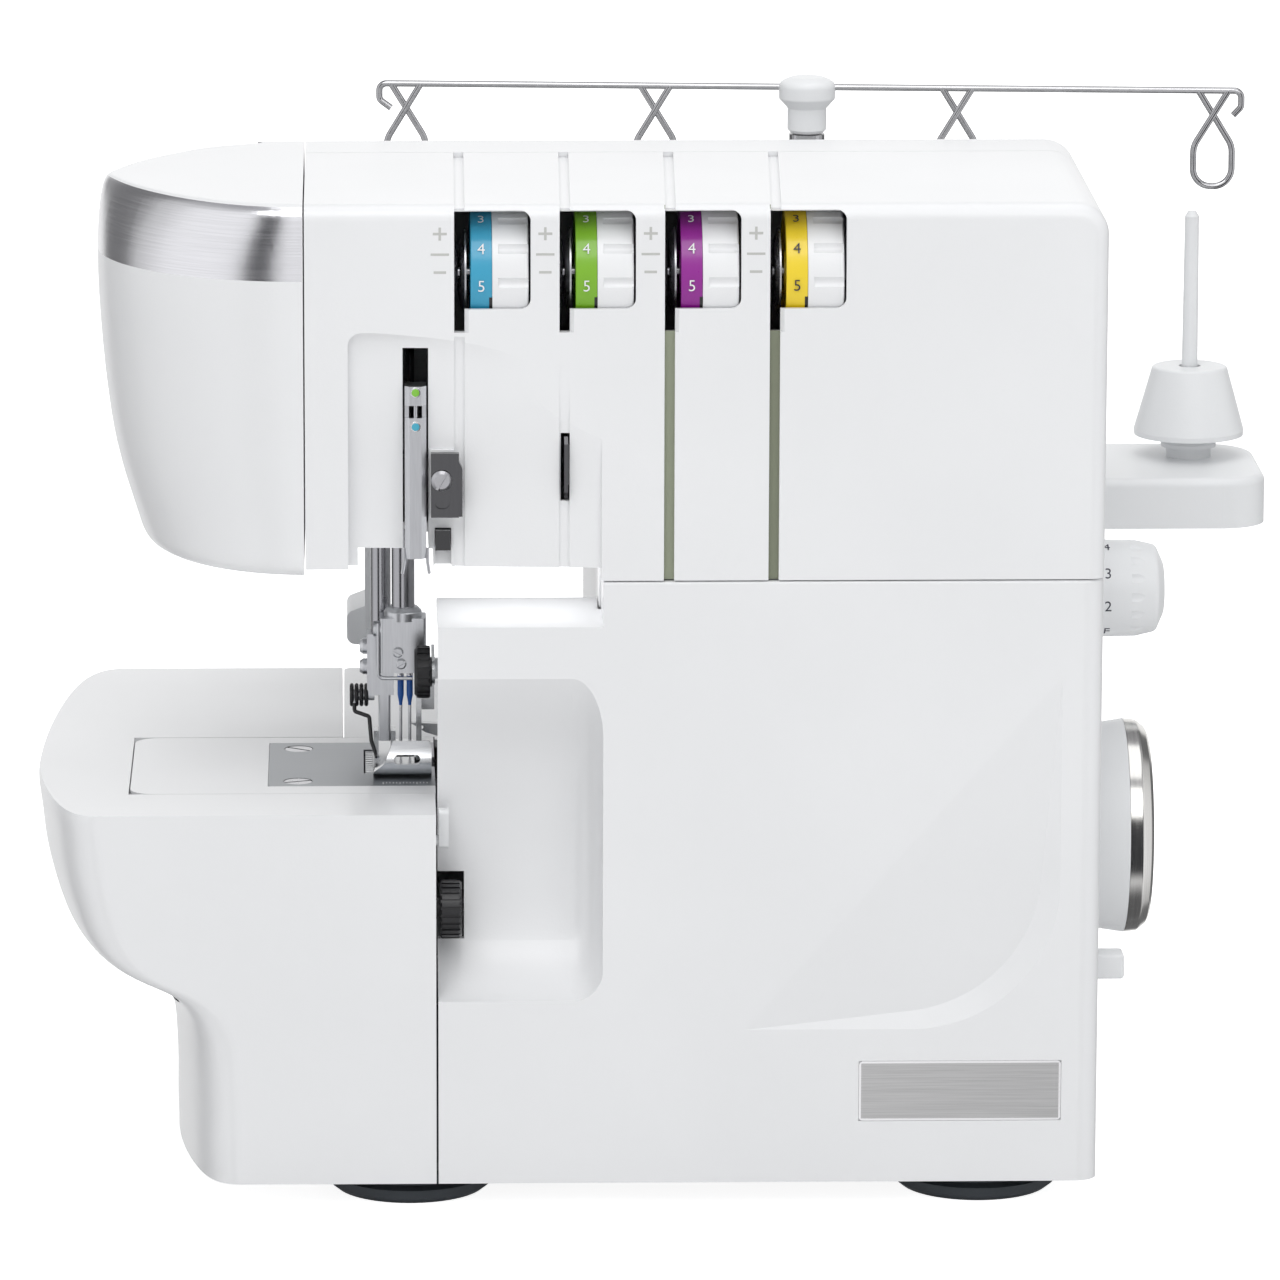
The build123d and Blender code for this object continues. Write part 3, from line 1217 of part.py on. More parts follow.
def thread_stand():
    stand = plan_prism(stand_plan(0), stand_bottom, stand_top)
    stand = fillet(stand.edges().filter_by_position(Axis.Z, stand_top, stand_top), 2.5)
    stand -= plan_prism(stand_plan(2.4), stand_bottom - 1, stand_top - 2.6)
    neck = block((mast_x - 34, mast_x + 34), (head_depth + 0.1, stand_front + 4), (stand_bottom, stand_top - 1))
    stand += fillet(neck.edges().filter_by(Axis.Y), 2)
    for x in (mast_x - 28, mast_x + 16):
        stand += block((x, x + 12), (mast_y - 12, mast_y + 12), (hump_top + 0.05, stand_top - 1.5))
    stand += rod_z(stand_bottom, stand_top, mast_x, mast_y, 9)
    stand -= rod_z(hump_top, stand_top + 1, mast_x, mast_y, tube_radius)
    for x in pin_x:
        stand += rod_z(stand_bottom, stand_top + 3.2, x, pin_y, 7)
        stand -= rod_z(stand_bottom + 2, stand_top + 5, x, pin_y, 2.6)
    return stand


def spool_pins():
    pieces = []
    for x in pin_x:
        pieces.append(turned(Plane((x, pin_y, 0)), (0, stand_bottom + 2), (2.6, stand_bottom + 2), (2.6, stand_top + 8),
                             (2.2, 263.2), (1.2, 264.8), (0, 264.8)))
    return group(pieces)


cone_low = stand_top + 6.6
cone_high = 216.0


def cone_holders():
    pieces = []
    for x in pin_x:
        pieces.append(turned(Plane((x, pin_y, 0)), (2.75, stand_top + 3.3), (8.6, stand_top + 3.3), (8.6, stand_top + 4.4),
                             (6.0, cone_low + 1), (17.0, cone_low + 0.4), (17.2, cone_low + 2), (11.6, cone_high, 1),
                             (3.4, cone_high), (3.4, cone_high - 6), (2.75, cone_high - 6)))
    return group(pieces)


def mast_base_tube():
    top = 288.6
    tube = rod_z(hump_top + 0.5, top, mast_x, mast_y, tube_radius)
    tube += rod_z(top - 4.2, top, mast_x, mast_y, tube_radius + 1.2)
    return tube - rod_z(hump_top, top + 1, mast_x, mast_y, middle_radius + running_gap)


def mast_middle():
    top = 292.6
    tube = rod_z(stand_bottom + 2, top, mast_x, mast_y, middle_radius)
    tube += rod_z(top - 3.6, top, mast_x, mast_y, middle_radius + 1.2)
    return tube - rod_z(stand_bottom, top + 1, mast_x, mast_y, rod_radius + running_gap)


def mast_top():
    axis = Plane((mast_x, mast_y, 0))
    rod = rod_z(stand_bottom + 6, 299, mast_x, mast_y, rod_radius)
    cap = turned(axis, (0, 293.0), (5.0, 293.0), (6.0, 294.0), (6.0, 300.6), (8.7, 303.6, 1), (8.7, 308.6, 2.5), (5, 310.2, 2), (0, 310.2))
    turn = radians(guide_bar_turn)
    along = Plane((mast_x, mast_y, guide_bar_z), z_dir=(cos(turn), -sin(turn), 0))
    bore = along * Pos(0, 0, -12) * extrude(Circle(guide_wire_radius + running_gap), amount=24)
    return rod + cap - bore


def thread_loop(along, low):
    """One wire loop: down from the bar, crossing itself, round an eye and back up."""
    half = 4.6
    eye = 5.9
    z = guide_bar_z
    shoulder = low + 0.42 * (z - low)
    path = FilletPolyline((along - half, 0, z), (along + eye, 0.9, shoulder), (along + eye, 0.5, low),
                          (along - eye, -0.5, low), (along - eye, -0.9, shoulder), (along + half, 0, z),
                          radius=[7, eye - 0.4, eye - 0.4, 7])
    return wire(path, guide_wire_radius)


def thread_guide_bar():
    turn = radians(guide_bar_turn)
    left = (8.6 - mast_x) / cos(turn)
    right = (272.4 - mast_x) / cos(turn)
    z = guide_bar_z
    path = FilletPolyline((left + 3.6, 0, z - 7.6), (left, 0, z - 5), (left, 0, z), (right, 0, z), (right, 0, z - 5.0),
                          (right - 2.4, 0, z - 7.6), radius=[2, 2.2, 2.2, 2])
    bar = wire(path, guide_wire_radius)
    for x in (16.8, 93.4, 185.8, 263.9):
        bar += thread_loop((x - mast_x) / cos(turn), 277.4)
    # the bar passes through the cap
    bar = bar & block((left - 5, right + 5), (-20, 20), (200, 400))
    return Pos(mast_x, mast_y, 0) * Rot(0, 0, -guide_bar_turn) * bar


# ---------------------------------------------------------------- write every node
nodes = {
    "base_plate": base_plate, "rubber_feet": rubber_feet, "main_frame": main_frame, "shaft_bushes": shaft_bushes,
    "front_housing": front_housing, "rear_housing": rear_housing, "lower_housing": lower_housing,
    "face_cover": face_cover, "face_trim": face_trim, "free_arm_cover": free_arm_cover,
    "needle_plate": needle_plate, "fixing_screws": fixing_screws, "thread_stand": thread_stand,
    "spool_pins": spool_pins, "cone_holders": cone_holders, "mast_base_tube": mast_base_tube,
    "mast_middle": mast_middle, "mast_top": mast_top, "thread_guide_bar": thread_guide_bar,
    "tension_posts": tension_posts, "tension_discs": tension_discs,
    "head_thread_guides": head_thread_guides, "lamp_lens": lamp_lens, "motor": motor,
    "motor_pulley": motor_pulley, "drive_belt": drive_belt, "belt_pulley": belt_pulley, "main_shaft": main_shaft,
    "handwheel_hub": handwheel_hub, "handwheel_ring": handwheel_ring, "power_inlet": power_inlet,
    "power_switch": power_switch, "switch_bezel": switch_bezel, "stitch_length_dial": stitch_length_dial,
    "looper_cover": looper_cover, "badge_plate": badge_plate, "cover_hinge_rod": cover_hinge_rod,
    "cover_hinge_sleeves": cover_hinge_sleeves, "extension_table": extension_table,
    "needle_bar": needle_bar, "needle_clamp": needle_clamp, "needles": needles, "presser_bar": presser_bar,
    "foot_holder": foot_holder, "presser_foot": presser_foot, "presser_spring": presser_spring,
    "presser_lifter": presser_lifter, "take_up_cover": take_up_cover, "lower_knife": lower_knife,
    "upper_knife": upper_knife, "knife_knob": knife_knob, "upper_looper": upper_looper,
    "lower_looper": lower_looper, "feed_dogs": feed_dogs, "cutting_width_knob": cutting_width_knob,
    "stitch_finger_lever": stitch_finger_lever,
}
for name, make in nodes.items():
    save(name, make())
for number, x in enumerate(slot_x, start=1):
    save(f"tension_dial_{number}", tension_dial(x))
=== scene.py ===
"""Overlock machine: its finishes, its printed marks and the small pieces that dress the frame."""
import math

import bpy
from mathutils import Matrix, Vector


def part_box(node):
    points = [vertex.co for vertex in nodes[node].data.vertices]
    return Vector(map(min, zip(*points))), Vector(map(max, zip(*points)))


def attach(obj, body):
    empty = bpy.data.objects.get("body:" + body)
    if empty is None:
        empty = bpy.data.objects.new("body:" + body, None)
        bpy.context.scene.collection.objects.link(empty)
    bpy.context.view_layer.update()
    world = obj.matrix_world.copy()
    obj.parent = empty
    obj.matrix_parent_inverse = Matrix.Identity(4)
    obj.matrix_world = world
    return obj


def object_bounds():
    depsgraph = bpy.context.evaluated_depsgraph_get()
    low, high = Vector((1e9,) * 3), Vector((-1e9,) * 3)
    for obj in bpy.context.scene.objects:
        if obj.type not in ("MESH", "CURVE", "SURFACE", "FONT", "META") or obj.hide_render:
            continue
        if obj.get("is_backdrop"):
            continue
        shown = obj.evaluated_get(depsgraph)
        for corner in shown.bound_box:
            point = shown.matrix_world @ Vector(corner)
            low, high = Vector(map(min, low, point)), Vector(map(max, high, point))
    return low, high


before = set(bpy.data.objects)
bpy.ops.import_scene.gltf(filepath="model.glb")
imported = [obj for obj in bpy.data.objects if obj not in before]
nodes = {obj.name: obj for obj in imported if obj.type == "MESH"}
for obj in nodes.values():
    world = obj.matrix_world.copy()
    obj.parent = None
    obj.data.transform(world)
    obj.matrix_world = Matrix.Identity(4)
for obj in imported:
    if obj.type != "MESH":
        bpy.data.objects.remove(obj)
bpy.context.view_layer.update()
bpy.ops.object.select_all(action="DESELECT")
MM = 0.001
part_origin = Vector((-94.25, -111, 0)) * MM     # the CAD drawing's own origin, in the frame

# --- Studio ---------------------------------------------------------------------------------
# The machine stands on a white table in a light room. Metal mirrors a room of its own: light in
# front, dim at the sides, dark below, and with two dark strips beside the camera for contrast.
scene = bpy.context.scene
scene.view_settings.view_transform = "Standard"


class Shade:
    """One value in a node tree, so that shader maths reads as ordinary sums."""

    def __init__(self, tree, socket=None):
        self.tree = tree
        self.socket = socket

    def node(self, kind, inputs=None, settings=None, output=0):
        """A new node with its settings made first, then its sockets set or linked."""
        made = self.tree.nodes.new(kind)
        for name, value in (settings or {}).items():
            setattr(made, name, value)
        for key, value in (inputs or {}).items():
            if isinstance(value, Shade):
                self.tree.links.new(value.socket, made.inputs[key])
            elif made.inputs[key].type == "RGBA" and len(value) == 3:
                made.inputs[key].default_value = (*value, 1)
            else:
                made.inputs[key].default_value = value
        return Shade(self.tree, made.outputs[output]) if made.outputs else None

    def maths(self, operation, *values):
        return self.node("ShaderNodeMath", dict(enumerate(values)), {"operation": operation})

    def __add__(self, other):
        return self.maths("ADD", self, other)

    def __sub__(self, other):
        return self.maths("SUBTRACT", self, other)

    def __mul__(self, other):
        return self.maths("MULTIPLY", self, other)

    def __rsub__(self, other):
        return self.maths("SUBTRACT", other, self)

    __radd__ = __add__
    __rmul__ = __mul__

    def __abs__(self):
        return self.maths("ABSOLUTE", self)

    def rise(self, low, high):
        """0 below low and 1 above high, with a smooth step between."""
        ends = {"Value": self, "From Min": low, "From Max": high}
        return self.node("ShaderNodeMapRange", ends, {"interpolation_type": "SMOOTHSTEP"})

    def band(self, low, high, edge):
        """1 between low and high and 0 outside, with soft edges of this width."""
        return self.rise(low - edge, low) * (1 - self.rise(high, high + edge))

    def mix(self, low, high):
        """Colour low where this value is 0 and colour high where it is 1."""
        return self.node("ShaderNodeMix", {0: self, 6: low, 7: high}, {"data_type": "RGBA"}, 2)

    def axes(self):
        return [self.node("ShaderNodeSeparateXYZ", {0: self}, output=i) for i in range(3)]


room = bpy.data.worlds.new("studio")
scene.world = room
room.use_nodes = True
room.node_tree.nodes.clear()
sky = Shade(room.node_tree)
seen = sky.node("ShaderNodeLightPath", output=0)
mirrored = sky.node("ShaderNodeLightPath", output=3)
east, north, up = sky.node("ShaderNodeTexCoord", output=0).axes()
strips = east.band(0.16, 0.56, 0.08) + east.band(-0.55, -0.35, 0.1)
dark_edge = strips * up.band(-0.6, 0.35, 0.2) * (1 - north.rise(-0.1, 0.1))
metal_room = north.rise(-0.1, 0.35).mix((0.90, 0.90, 0.92), (0.60, 0.60, 0.61))
metal_room = north.rise(0.35, 0.5).mix(metal_room, (0.16, 0.16, 0.165))
metal_room = north.rise(0.8, 0.9).mix(metal_room, (1.0, 1.0, 1.0))
metal_room = up.rise(0.45, 0.95).mix(metal_room, (0.34, 0.34, 0.36))
metal_room = dark_edge.mix(metal_room, (0.03, 0.03, 0.035))
metal_room = up.rise(-0.95, -0.7).mix((0.12, 0.12, 0.125), metal_room)
around = up.rise(-0.4, 0.9).mix((0.36, 0.365, 0.375), (0.50, 0.505, 0.51))
around = north.rise(0.1, 0.6).mix(around, (0.90, 0.90, 0.90))
light = mirrored.mix(around, metal_room)
light = seen.mix(light, (1.0, 1.0, 1.0))
lit = sky.node("ShaderNodeBackground", {"Color": light, "Strength": 1.0})
sky.node("ShaderNodeOutputWorld", {"Surface": lit})

bpy.ops.mesh.primitive_plane_add(size=14, location=(0, 4, 0))
bpy.ops.object.transform_apply(location=True)
table_top = bpy.context.object
table_top.name = "table_top"
table_white = bpy.data.materials.new("table_top_white")
table_white.use_nodes = True
table_white.node_tree.nodes.clear()
tone = Shade(table_white.node_tree)
matte = tone.node("ShaderNodeBsdfDiffuse", {"Color": (0.90, 0.90, 0.90)})
glow = tone.node("ShaderNodeEmission", {"Color": (1.0, 1.0, 1.0), "Strength": 0.9})
whiter = tone.node("ShaderNodeAddShader", {0: matte, 1: glow})
direct = tone.node("ShaderNodeLightPath", output=0)
either = tone.node("ShaderNodeMixShader", {0: direct, 1: matte, 2: whiter})
tone.node("ShaderNodeOutputMaterial", {"Surface": either})
table_top.data.materials.append(table_white)
table_top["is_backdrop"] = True
table_top.visible_glossy = False


def area_lamp(name, place, power, size):
    """A round area lamp that shines straight down."""
    lamp = bpy.data.lights.new(name, "AREA")
    lamp.shape = "DISK"
    lamp.size = size
    lamp.energy = power
    stand = bpy.data.objects.new(name, lamp)
    scene.collection.objects.link(stand)
    stand.location = place
    return stand


for name, place, size, power in (
    ("key_lamp", (-0.5, -1.4, 1.9), 1.5, 15.0),
    ("front_lamp", (0.5, -1.1, 0.9), 0.8, 2.5),
    ("top_lamp", (0.2, -0.1, 1.5), 1.3, 4.5),
):
    to_machine = Vector((0, 0, 0.16)) - Vector(place)
    area_lamp(name, place, power, size).rotation_euler = to_machine.to_track_quat("-Z", "Y").to_euler()

# The machine's own work light, under the head, lights the ledge of the cover and the needles.
under_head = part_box("front_housing")[0].z - 1.5 * MM
work_light = area_lamp("work_light", (-44 * MM, -86 * MM, under_head), 0.007, 60 * MM).data
work_light.shape = "RECTANGLE"
work_light.size_y = 34 * MM

# The camera stands left of the middle, a little above, and looks down by twelve degrees.
lens = bpy.data.cameras.new("camera")
lens.sensor_width = 36
lens.lens = 242.6
lens.shift_x = 0.10
lens.clip_end = 50
camera = bpy.data.objects.new("camera", lens)
scene.collection.objects.link(camera)
camera.location = (part_origin.x, -2556.4 * MM, 691.5 * MM)
camera.rotation_euler = (math.radians(78), 0, math.radians(-1.076))
scene.camera = camera

# --- Casings --------------------------------------------------------------------------------
# Injection moulded shells of white plastic: head, face cover, bed, table and looper cover.
# The mould leaves a fine, even satin grain that shows only where light glances off it.


def new_finish(name, base, roughness, metallic=0.0, coat=0.0):
    """A material with its shader's own plain values set, and the way into its node tree."""
    material = bpy.data.materials.new(name)
    material.use_nodes = True
    shader = material.node_tree.nodes["Principled BSDF"]
    shader.inputs["Base Color"].default_value = (*base, 1)
    shader.inputs["Roughness"].default_value = roughness
    shader.inputs["Metallic"].default_value = metallic
    shader.inputs["Coat Weight"].default_value = coat
    shader.inputs["Coat Roughness"].default_value = 0.12
    return material, Shade(material.node_tree)


def feed(tone, **sockets):
    """Links values into the shader's sockets, named with _ for a space."""
    shader = tone.tree.nodes["Principled BSDF"]
    for name, value in sockets.items():
        tone.tree.links.new(value.socket, shader.inputs[name.replace("_", " ")])


def here(tone):
    return tone.node("ShaderNodeTexCoord", output=3)


def grain(tone, scale, detail=2.0, stretch=(1, 1, 1)):
    """Soft noise from 0 to 1, with this many grains to the metre, stretched along an axis if asked."""
    place = tone.node("ShaderNodeMapping", {"Vector": here(tone), "Scale": stretch})
    return tone.node("ShaderNodeTexNoise", {"Vector": place, "Scale": scale, "Detail": detail})


def raised(tone, height, depth):
    """A normal that rises by depth metres where height is 1."""
    return tone.node("ShaderNodeBump", {"Height": height, "Distance": depth, "Strength": 1.0})


def moulded(name, base, roughness, fineness=1400.0, depth=0.00002, coat=0.0, marked=None):
    """Moulded plastic: fine grain, and a gloss and tone that wander a little. marked may paint over its
    colour, such as dust and painted shade.
    """
    material, tone = new_finish(name, base, roughness, coat=coat)
    cloud = grain(tone, 12.0)
    speck = grain(tone, fineness)
    worn = tuple(channel * 0.975 for channel in base)
    colour = cloud.rise(0.3, 0.7).mix(base, worn)
    feed(tone, Base_Color=marked(tone, colour) if marked else colour,
         Roughness=speck * 0.05 + cloud * 0.05 + (roughness - 0.05),
         Normal=raised(tone, speck, depth))
    return material


def wear(material, *names):
    """Gives CAD nodes one material all over."""
    for name in names:
        nodes[name].data.materials.clear()
        nodes[name].data.materials.append(material)


casing_white = moulded("casing_white", (0.86, 0.865, 0.875), 0.30, coat=0.2)
wear(casing_white, "rear_housing", "face_cover", "lower_housing", "looper_cover", "extension_table",
     "free_arm_cover")

# --- Thread slots ---------------------------------------------------------------------------
# The floors of the two long slots, under the third and fourth dials, are painted a grey-green: thread
# dust, and painted shade for the little light that reaches them.
head_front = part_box("front_housing")[0].y


def dusty_floors(tone, colour):
    """Paints dust and painted shade, grey-green, on the floors of the two long slots."""
    along, across, height = here(tone).axes()
    depth = across.band(head_front + 1.5 * MM, head_front + 2.6 * MM, 0.4 * MM)
    # Each floor's colour is painted shade as well as dust, darker in the second slot.
    for slot_x, dust_and_shade_tone in ((91.4 * MM, (0.33, 0.36, 0.26)), (121.7 * MM, (0.25, 0.27, 0.19))):
        middle = part_origin.x + slot_x
        floor = along.band(middle - 1.6 * MM, middle + 1.45 * MM, 0.1 * MM) * depth
        colour = floor.mix(colour, dust_and_shade_tone)
    return colour


wear(moulded("head_white", (0.86, 0.865, 0.875), 0.30, coat=0.2, marked=dusty_floors), "front_housing")

# --- Chrome trim ----------------------------------------------------------------------------
# A thin plated band round the end of the head, and the rim of the handwheel. Both are plated
# plastic, brushed along their length to a satin sheen.


def drawn(name, base, roughness, stretch, fineness=420.0):
    """Metal with fine drawn lines along the axis that is stretched least."""
    material, tone = new_finish(name, base, roughness, metallic=1.0)
    lines = grain(tone, fineness, 3.0, stretch)
    cloud = grain(tone, 20.0)
    dull = tuple(channel * 0.9 for channel in base)
    feed(tone, Base_Color=lines.rise(0.25, 0.75).mix(dull, base),
         Roughness=lines * 0.08 + cloud * 0.06 + (roughness - 0.07),
         Normal=raised(tone, lines, 0.000003))
    return material


wear(drawn("trim_chrome", (0.92, 0.92, 0.94), 0.24, (0.1, 0.1, 6)), "face_trim")
wear(drawn("rim_chrome", (0.80, 0.79, 0.76), 0.18, (6, 0.1, 0.1)), "handwheel_ring")

# --- Bright metal ---------------------------------------------------------------------------
# Polished wire on the mast, ground bars, and stamped plates round the needles and inside.
wear(drawn("polished_wire", (0.50, 0.50, 0.51), 0.16, (1, 1, 1)),
     "thread_guide_bar", "mast_base_tube", "mast_middle")
wear(drawn("ground_bar", (0.46, 0.46, 0.48), 0.18, (2, 2, 0.05)),
     "needle_bar", "presser_bar", "tension_posts")
wear(drawn("turned_steel", (0.62, 0.62, 0.64), 0.28, (1, 1, 1)),
     "main_shaft", "shaft_bushes", "cover_hinge_rod", "tension_discs", "fixing_screws")
wear(drawn("stamped_steel", (0.70, 0.71, 0.73), 0.30, (3, 3, 0.2)), "needle_clamp", "take_up_cover")
wear(drawn("ground_blade", (0.62, 0.63, 0.64), 0.24, (0.3, 3, 3)),
     "lower_knife", "upper_knife", "upper_looper", "lower_looper", "feed_dogs", "presser_foot")
wear(drawn("dark_nickel", (0.12, 0.12, 0.125), 0.16, (3, 3, 0.2)), "head_thread_guides")
wear(drawn("satin_plate", (0.34, 0.355, 0.375), 0.34, (0.1, 6, 1)), "needle_plate")

# --- Badge ----------------------------------------------------------------------------------
# Brushed aluminium plate glued to the looper cover, with a polished rim. It bears no text.
material, tone = new_finish("badge_brushed", (0.82, 0.82, 0.81), 0.30, metallic=1.0)
low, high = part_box("badge_plate")
along, across, height = here(tone).axes()
rim_width = 0.7 * MM
inner_width = along.band(low.x + rim_width, high.x - rim_width, 0.1 * MM)
inner_height = height.band(low.z + rim_width, high.z - rim_width, 0.1 * MM)
rim = 1 - inner_width * inner_height
brushed = grain(tone, 420.0, 3.0, (0.1, 1, 6))
field = brushed.rise(0.25, 0.75).mix((0.70, 0.70, 0.69), (0.84, 0.84, 0.83))
feed(tone, Base_Color=rim.mix(field, (0.97, 0.97, 0.97)),
     Roughness=brushed * 0.1 + 0.25 - rim * 0.17, Normal=raised(tone, brushed, 0.000003))
wear(material, "badge_plate")

# --- Foot holder ----------------------------------------------------------------------------
# Stamped steel shank. The black arm of its torsion spring runs down to the foot.
material, tone = new_finish("holder_steel", (0.70, 0.71, 0.73), 0.30)
along, across, height = here(tone).axes()
plate_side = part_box("foot_holder")[0].x + 8.0 * MM
arm = (1 - along.rise(plate_side, plate_side + 0.1 * MM)) * (1 - height.rise(136.7 * MM, 136.9 * MM))
lines = grain(tone, 420.0, 3.0, (3, 3, 0.2))
steel = lines.rise(0.25, 0.75).mix((0.63, 0.64, 0.66), (0.70, 0.71, 0.73))
feed(tone, Base_Color=arm.mix(steel, (0.02, 0.02, 0.022)),
     Metallic=1 - arm, Roughness=lines * 0.08 + 0.26, Normal=raised(tone, lines, 0.000003))
wear(material, "foot_holder")

# --- Castings -------------------------------------------------------------------------------
# The main frame and the belt pulley are cast alloy, blasted to an even dull grit.


def cast(name, base, roughness):
    """Blasted casting."""
    material, tone = new_finish(name, base, roughness, metallic=0.85)
    grit = grain(tone, 1100.0, 4.0)
    feed(tone, Roughness=grit * 0.2 + (roughness - 0.1), Normal=raised(tone, grit, 0.0001))
    return material


wear(cast("cast_alloy", (0.42, 0.43, 0.44), 0.5), "main_frame", "belt_pulley")

# --- Needles --------------------------------------------------------------------------------
# Two plated steel needles. Their cones are painted blue, which tells them from the plain kind.
material, tone = new_finish("needle_steel", (0.75, 0.75, 0.77), 0.18)
height = here(tone).axes()[2]
paint = height.band(137.2 * MM, 146.0 * MM, 0.15 * MM)
feed(tone, Base_Color=paint.mix((0.75, 0.75, 0.77), (0.02, 0.13, 0.50)), Metallic=1 - paint,
     Roughness=grain(tone, 900.0) * 0.1 + paint * 0.12 + 0.13)
wear(material, "needles")

# --- Black pieces ---------------------------------------------------------------------------
# Knurled knobs of black plastic, the motor's shell, the mains inlet, springs, belt and feet.
# The torsion spring of the foot is four turns of wire round the pin of the foot holder.
wear(moulded("black_plastic", (0.018, 0.018, 0.020), 0.34, depth=0.00004),
     "cutting_width_knob", "knife_knob", "power_inlet", "motor", "motor_pulley")
spring_black = moulded("spring_black", (0.02, 0.02, 0.022), 0.25)
wear(spring_black, "presser_spring")
spring_start = part_origin + Vector((-0.6, 77.5, 138.6)) * MM
spring_pitch = Vector((1.45 * MM, 0, 0))
for turn in range(4):
    bpy.ops.object.select_all(action="DESELECT")
    bpy.ops.mesh.primitive_torus_add(major_radius=2.9 * MM, minor_radius=0.62 * MM, major_segments=40,
                                     minor_segments=12, location=spring_start + spring_pitch * turn,
                                     rotation=(0, math.pi / 2, 0))
    bpy.ops.object.transform_apply(location=True, rotation=True)
    bpy.ops.object.shade_smooth_by_angle(angle=math.radians(40))
    coil = bpy.context.object
    coil.name = f"foot_spring_{turn}"
    coil.data.materials.append(spring_black)
    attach(coil, "presser")
wear(moulded("base_black", (0.05, 0.05, 0.055), 0.5, 500.0, 0.0001), "base_plate")
wear(moulded("belt_rubber", (0.02, 0.02, 0.02), 0.65, 800.0, 0.0001), "drive_belt")
wear(moulded("foot_rubber", (0.055, 0.065, 0.075), 0.6, 1200.0, 0.00008), "rubber_feet")
wear(moulded("smoked_lens", (0.01, 0.01, 0.012), 0.12, coat=0.6), "lamp_lens")

# --- White controls and the thread stand ------------------------------------------------------
# The stand with its pins and cones, the mast's cap, the dials and the levers: a cooler and
# slightly milky plastic.
milky = moulded("milky_plastic", (0.85, 0.86, 0.87), 0.36)
wear(milky, "thread_stand", "spool_pins", "cone_holders", "mast_top", "handwheel_hub", "presser_lifter",
     "stitch_length_dial", "power_switch", "switch_bezel", "stitch_finger_lever", "cover_hinge_sleeves")

# --- Tension dials --------------------------------------------------------------------------
# Each dial is a white wheel with thumb flutes and a glossy coloured ring with printed numbers.
# The stop notch at the foot of each ring is painted near-black, as painted shade.
dial_white = (0.86, 0.865, 0.875)
ring_width = 6.3 * MM
digit_4_angle = 29.5     # degrees above the front
digit_step = 33


def printed(text, height, name):
    """A character as a thin flat mesh, centred on the origin."""
    bpy.ops.object.select_all(action="DESELECT")
    bpy.ops.object.text_add()
    letter = bpy.context.object
    letter.data.body = text
    letter.data.size = height * 1.43
    letter.data.align_x = "CENTER"
    letter.data.align_y = "CENTER"
    letter.data.extrude = 0.03 * MM
    letter.data.offset = -0.008 * height
    letter.data.resolution_u = 5
    bpy.ops.object.convert(target="MESH")
    letter = bpy.context.object
    letter.name = name
    bpy.ops.object.mode_set(mode="EDIT")
    bpy.ops.mesh.select_all(action="SELECT")
    bpy.ops.mesh.remove_doubles(threshold=0.002 * MM)
    bpy.ops.object.mode_set(mode="OBJECT")
    return letter


def wrapped(piece, middle, radius, angle):
    """Wraps a flat piece round an axis along X. The angle counts up from the front, in degrees."""
    for vertex in piece.data.vertices:
        turn = math.radians(angle) + vertex.co.y / radius
        reach = radius + vertex.co.z
        vertex.co = middle + Vector((vertex.co.x, -reach * math.cos(turn), reach * math.sin(turn)))


def inked(piece, ink, body):
    """Gives a printed piece its ink, and the body that it moves with."""
    piece.data.materials.clear()
    piece.data.materials.append(ink)
    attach(piece, body)


white_ink = moulded("white_ink", (0.88, 0.88, 0.88), 0.4)
dark_ink = moulded("dark_ink", (0.03, 0.03, 0.05), 0.4)

for order, ring_colour in enumerate(((0.036, 0.35, 0.55), (0.20, 0.46, 0.014), (0.28, 0.006, 0.28),
                                     (0.88, 0.65, 0.02)), start=1):
    dial = f"tension_dial_{order}"
    low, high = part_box(dial)
    axis = Vector((low.x + ring_width / 2, (low.y + high.y) / 2, (low.z + high.z) / 2))
    radius = (high.z - low.z) / 2
    material, tone = new_finish(f"dial_{order}", dial_white, 0.3, coat=0.3)
    along, across, height = here(tone).axes()
    ring_edge = low.x + ring_width
    wheel = along.rise(ring_edge - 0.12 * MM, ring_edge - 0.04 * MM)
    turn = tone.maths("ARCTAN2", height - axis.z, axis.y - across)
    # The notch's shade is painted near-black on the ring's edge, over this sweep of angle.
    notch_shade_sweep = turn.band(math.radians(-36), math.radians(-14), 0.02)
    notch_shade = notch_shade_sweep * along.band(ring_edge - 0.9 * MM, ring_edge, 0.05 * MM)
    speck = grain(tone, 1400.0)
    feed(tone, Base_Color=notch_shade.mix(wheel.mix(ring_colour, dial_white), (0.01, 0.01, 0.01)),
         Roughness=speck * 0.05 + 0.26, Normal=raised(tone, speck, 0.00002))
    wear(material, dial)
    for number in range(10):
        digit = printed(str(number), 3.3 * MM, f"dial_{order}_number_{number}")
        wrapped(digit, axis, radius, digit_4_angle - digit_step * (number - 4))
        inked(digit, dark_ink if order == 4 else white_ink, f"dial_{order}")

# --- Marks beside the dials -----------------------------------------------------------------
# Printed in pale grey on the head, left of each slot: a plus, a long dash for the middle
# setting and a short minus.
grey_ink = moulded("grey_ink", (0.55, 0.55, 0.53), 0.5)
mark_pitch = 30.3 * MM


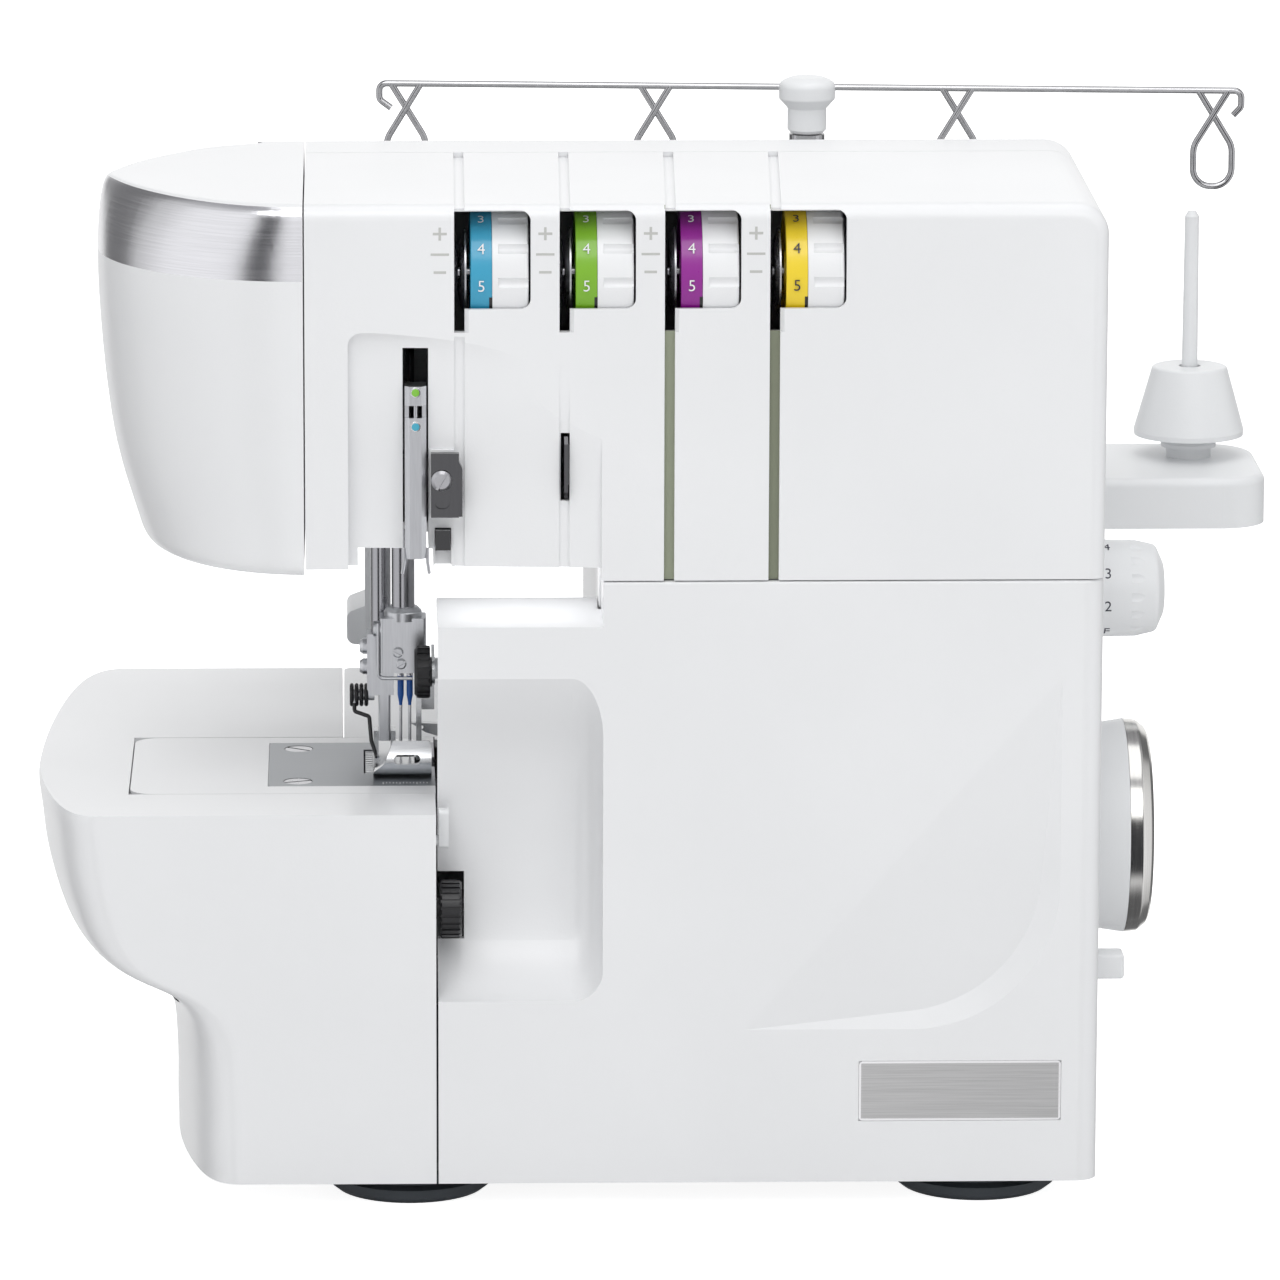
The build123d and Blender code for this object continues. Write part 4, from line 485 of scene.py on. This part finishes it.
def dash(width, height, name):
    """A thin printed bar standing in the plane of the front, centred on the origin."""
    bpy.ops.object.select_all(action="DESELECT")
    bpy.ops.mesh.primitive_plane_add(size=1, rotation=(math.pi / 2, 0, 0))
    bar = bpy.context.object
    bar.scale = (width, height, 1)
    bpy.ops.object.transform_apply(rotation=True, scale=True)
    bar.name = name
    film = bar.modifiers.new("film", "SOLIDIFY")
    film.thickness = 0.06 * MM
    film.offset = 0
    corners = bar.modifiers.new("corners", "BEVEL")
    corners.width = 0.1 * MM
    corners.segments = 2
    bpy.ops.object.modifier_apply(modifier="film")
    bpy.ops.object.modifier_apply(modifier="corners")
    return bar


def shifted(piece, x, y, z):
    """Moves a piece's mesh, so that its object stays at the origin."""
    for vertex in piece.data.vertices:
        vertex.co += Vector((x, y, z))


for order in range(4):
    left = part_origin.x + 25.2 * MM + order * mark_pitch
    for part, width, height, level in (("plus_across", 4.0, 0.75, 290.8), ("plus_up", 0.75, 3.8, 290.8),
                                       ("middle", 5.3, 0.7, 284.8), ("minus", 3.6, 0.75, 279.6)):
        bar = dash(width * MM, height * MM, f"mark_{order + 1}_{part}")
        shifted(bar, left, head_front - (0.0 if part == "plus_up" else 0.004 * MM), level * MM)
        inked(bar, grey_ink, "root")

# --- Threading dots -------------------------------------------------------------------------
# Two enamel dots set in the take-up cover, green over blue, each in a bright turned cup.
cover_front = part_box("take_up_cover")[0].y
cup_steel = drawn("cup_steel", (0.85, 0.85, 0.85), 0.25, (1, 1, 1))
for name, level, enamel in (("green", 244.9, (0.22, 0.55, 0.05)), ("blue", 234.9, (0.06, 0.40, 0.55))):
    place = (part_origin.x + 18.1 * MM, cover_front, level * MM)
    for part, radius, depth, finish in (
        ("cup", 1.55, 0.35, cup_steel),
        ("enamel", 1.15, 0.5, moulded(f"{name}_enamel", enamel, 0.25, coat=0.4)),
    ):
        bpy.ops.object.select_all(action="DESELECT")
        bpy.ops.mesh.primitive_cylinder_add(vertices=40, radius=radius * MM, depth=depth * MM,
                                            location=place, rotation=(math.pi / 2, 0, 0))
        bpy.ops.object.transform_apply(location=True, rotation=True)
        disc = bpy.context.object
        disc.name = f"{name}_dot_{part}"
        rim = disc.modifiers.new("rim", "BEVEL")
        rim.width = 0.12 * MM
        rim.segments = 3
        bpy.ops.object.modifier_apply(modifier="rim")
        bpy.ops.object.shade_smooth_by_angle(angle=math.radians(40))
        disc.data.materials.append(finish)
        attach(disc, "take_up")

# --- Ruler on the needle plate --------------------------------------------------------------
# Fine pale lines printed along the plate's front right corner, with a longer one at each fifth.
plate_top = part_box("needle_plate")[1].z
for tick in range(14):
    length = 2.6 if tick % 5 == 0 else 1.6
    line = dash(0.28 * MM, length * MM, f"plate_line_{tick}")
    for vertex in line.data.vertices:
        vertex.co.yz = -vertex.co.z, vertex.co.y
    shifted(line, part_origin.x + (8.6 + tick) * MM, part_origin.y + (43.1 - length / 2) * MM, plate_top)
    inked(line, white_ink, "root")

# --- Stitch length dial ---------------------------------------------------------------------
# White dial on the right side. Its setting numbers are printed in dark blue ink next to the body.
low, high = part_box("stitch_length_dial")
axis = Vector((part_origin.x + 223.0 * MM, (low.y + high.y) / 2, (low.z + high.z) / 2))
for text, angle in (("4", 67.5), ("3", 28.0), ("2", -11.5), ("F", -51.0), ("1", -90.5)):
    digit = printed(text, 3.2 * MM, f"length_mark_{text}")
    wrapped(digit, axis, (high.z - low.z) / 2, angle)
    inked(digit, dark_ink, "length_dial")

# --- Thumb tab ------------------------------------------------------------------------------
# A small white tab moulded on the looper cover's right side, which a thumb pulls to open it.
low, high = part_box("looper_cover")
bpy.ops.object.select_all(action="DESELECT")
bpy.ops.mesh.primitive_cube_add(size=1)
tab = bpy.context.object
tab.scale = (9.6 * MM, 9 * MM, 7.6 * MM)
bpy.ops.object.transform_apply(scale=True)
tab.name = "thumb_tab"
edges = tab.modifiers.new("edges", "BEVEL")
edges.width = 1.1 * MM
edges.segments = 4
bpy.ops.object.modifier_apply(modifier="edges")
bpy.ops.object.shade_smooth_by_angle(angle=math.radians(40))
shifted(tab, high.x + 4.4 * MM, low.y + 26 * MM, 67.6 * MM)
tab.data.materials.append(milky)
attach(tab, "front_cover")

# --- End ------------------------------------------------------------------------------------
low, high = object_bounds()
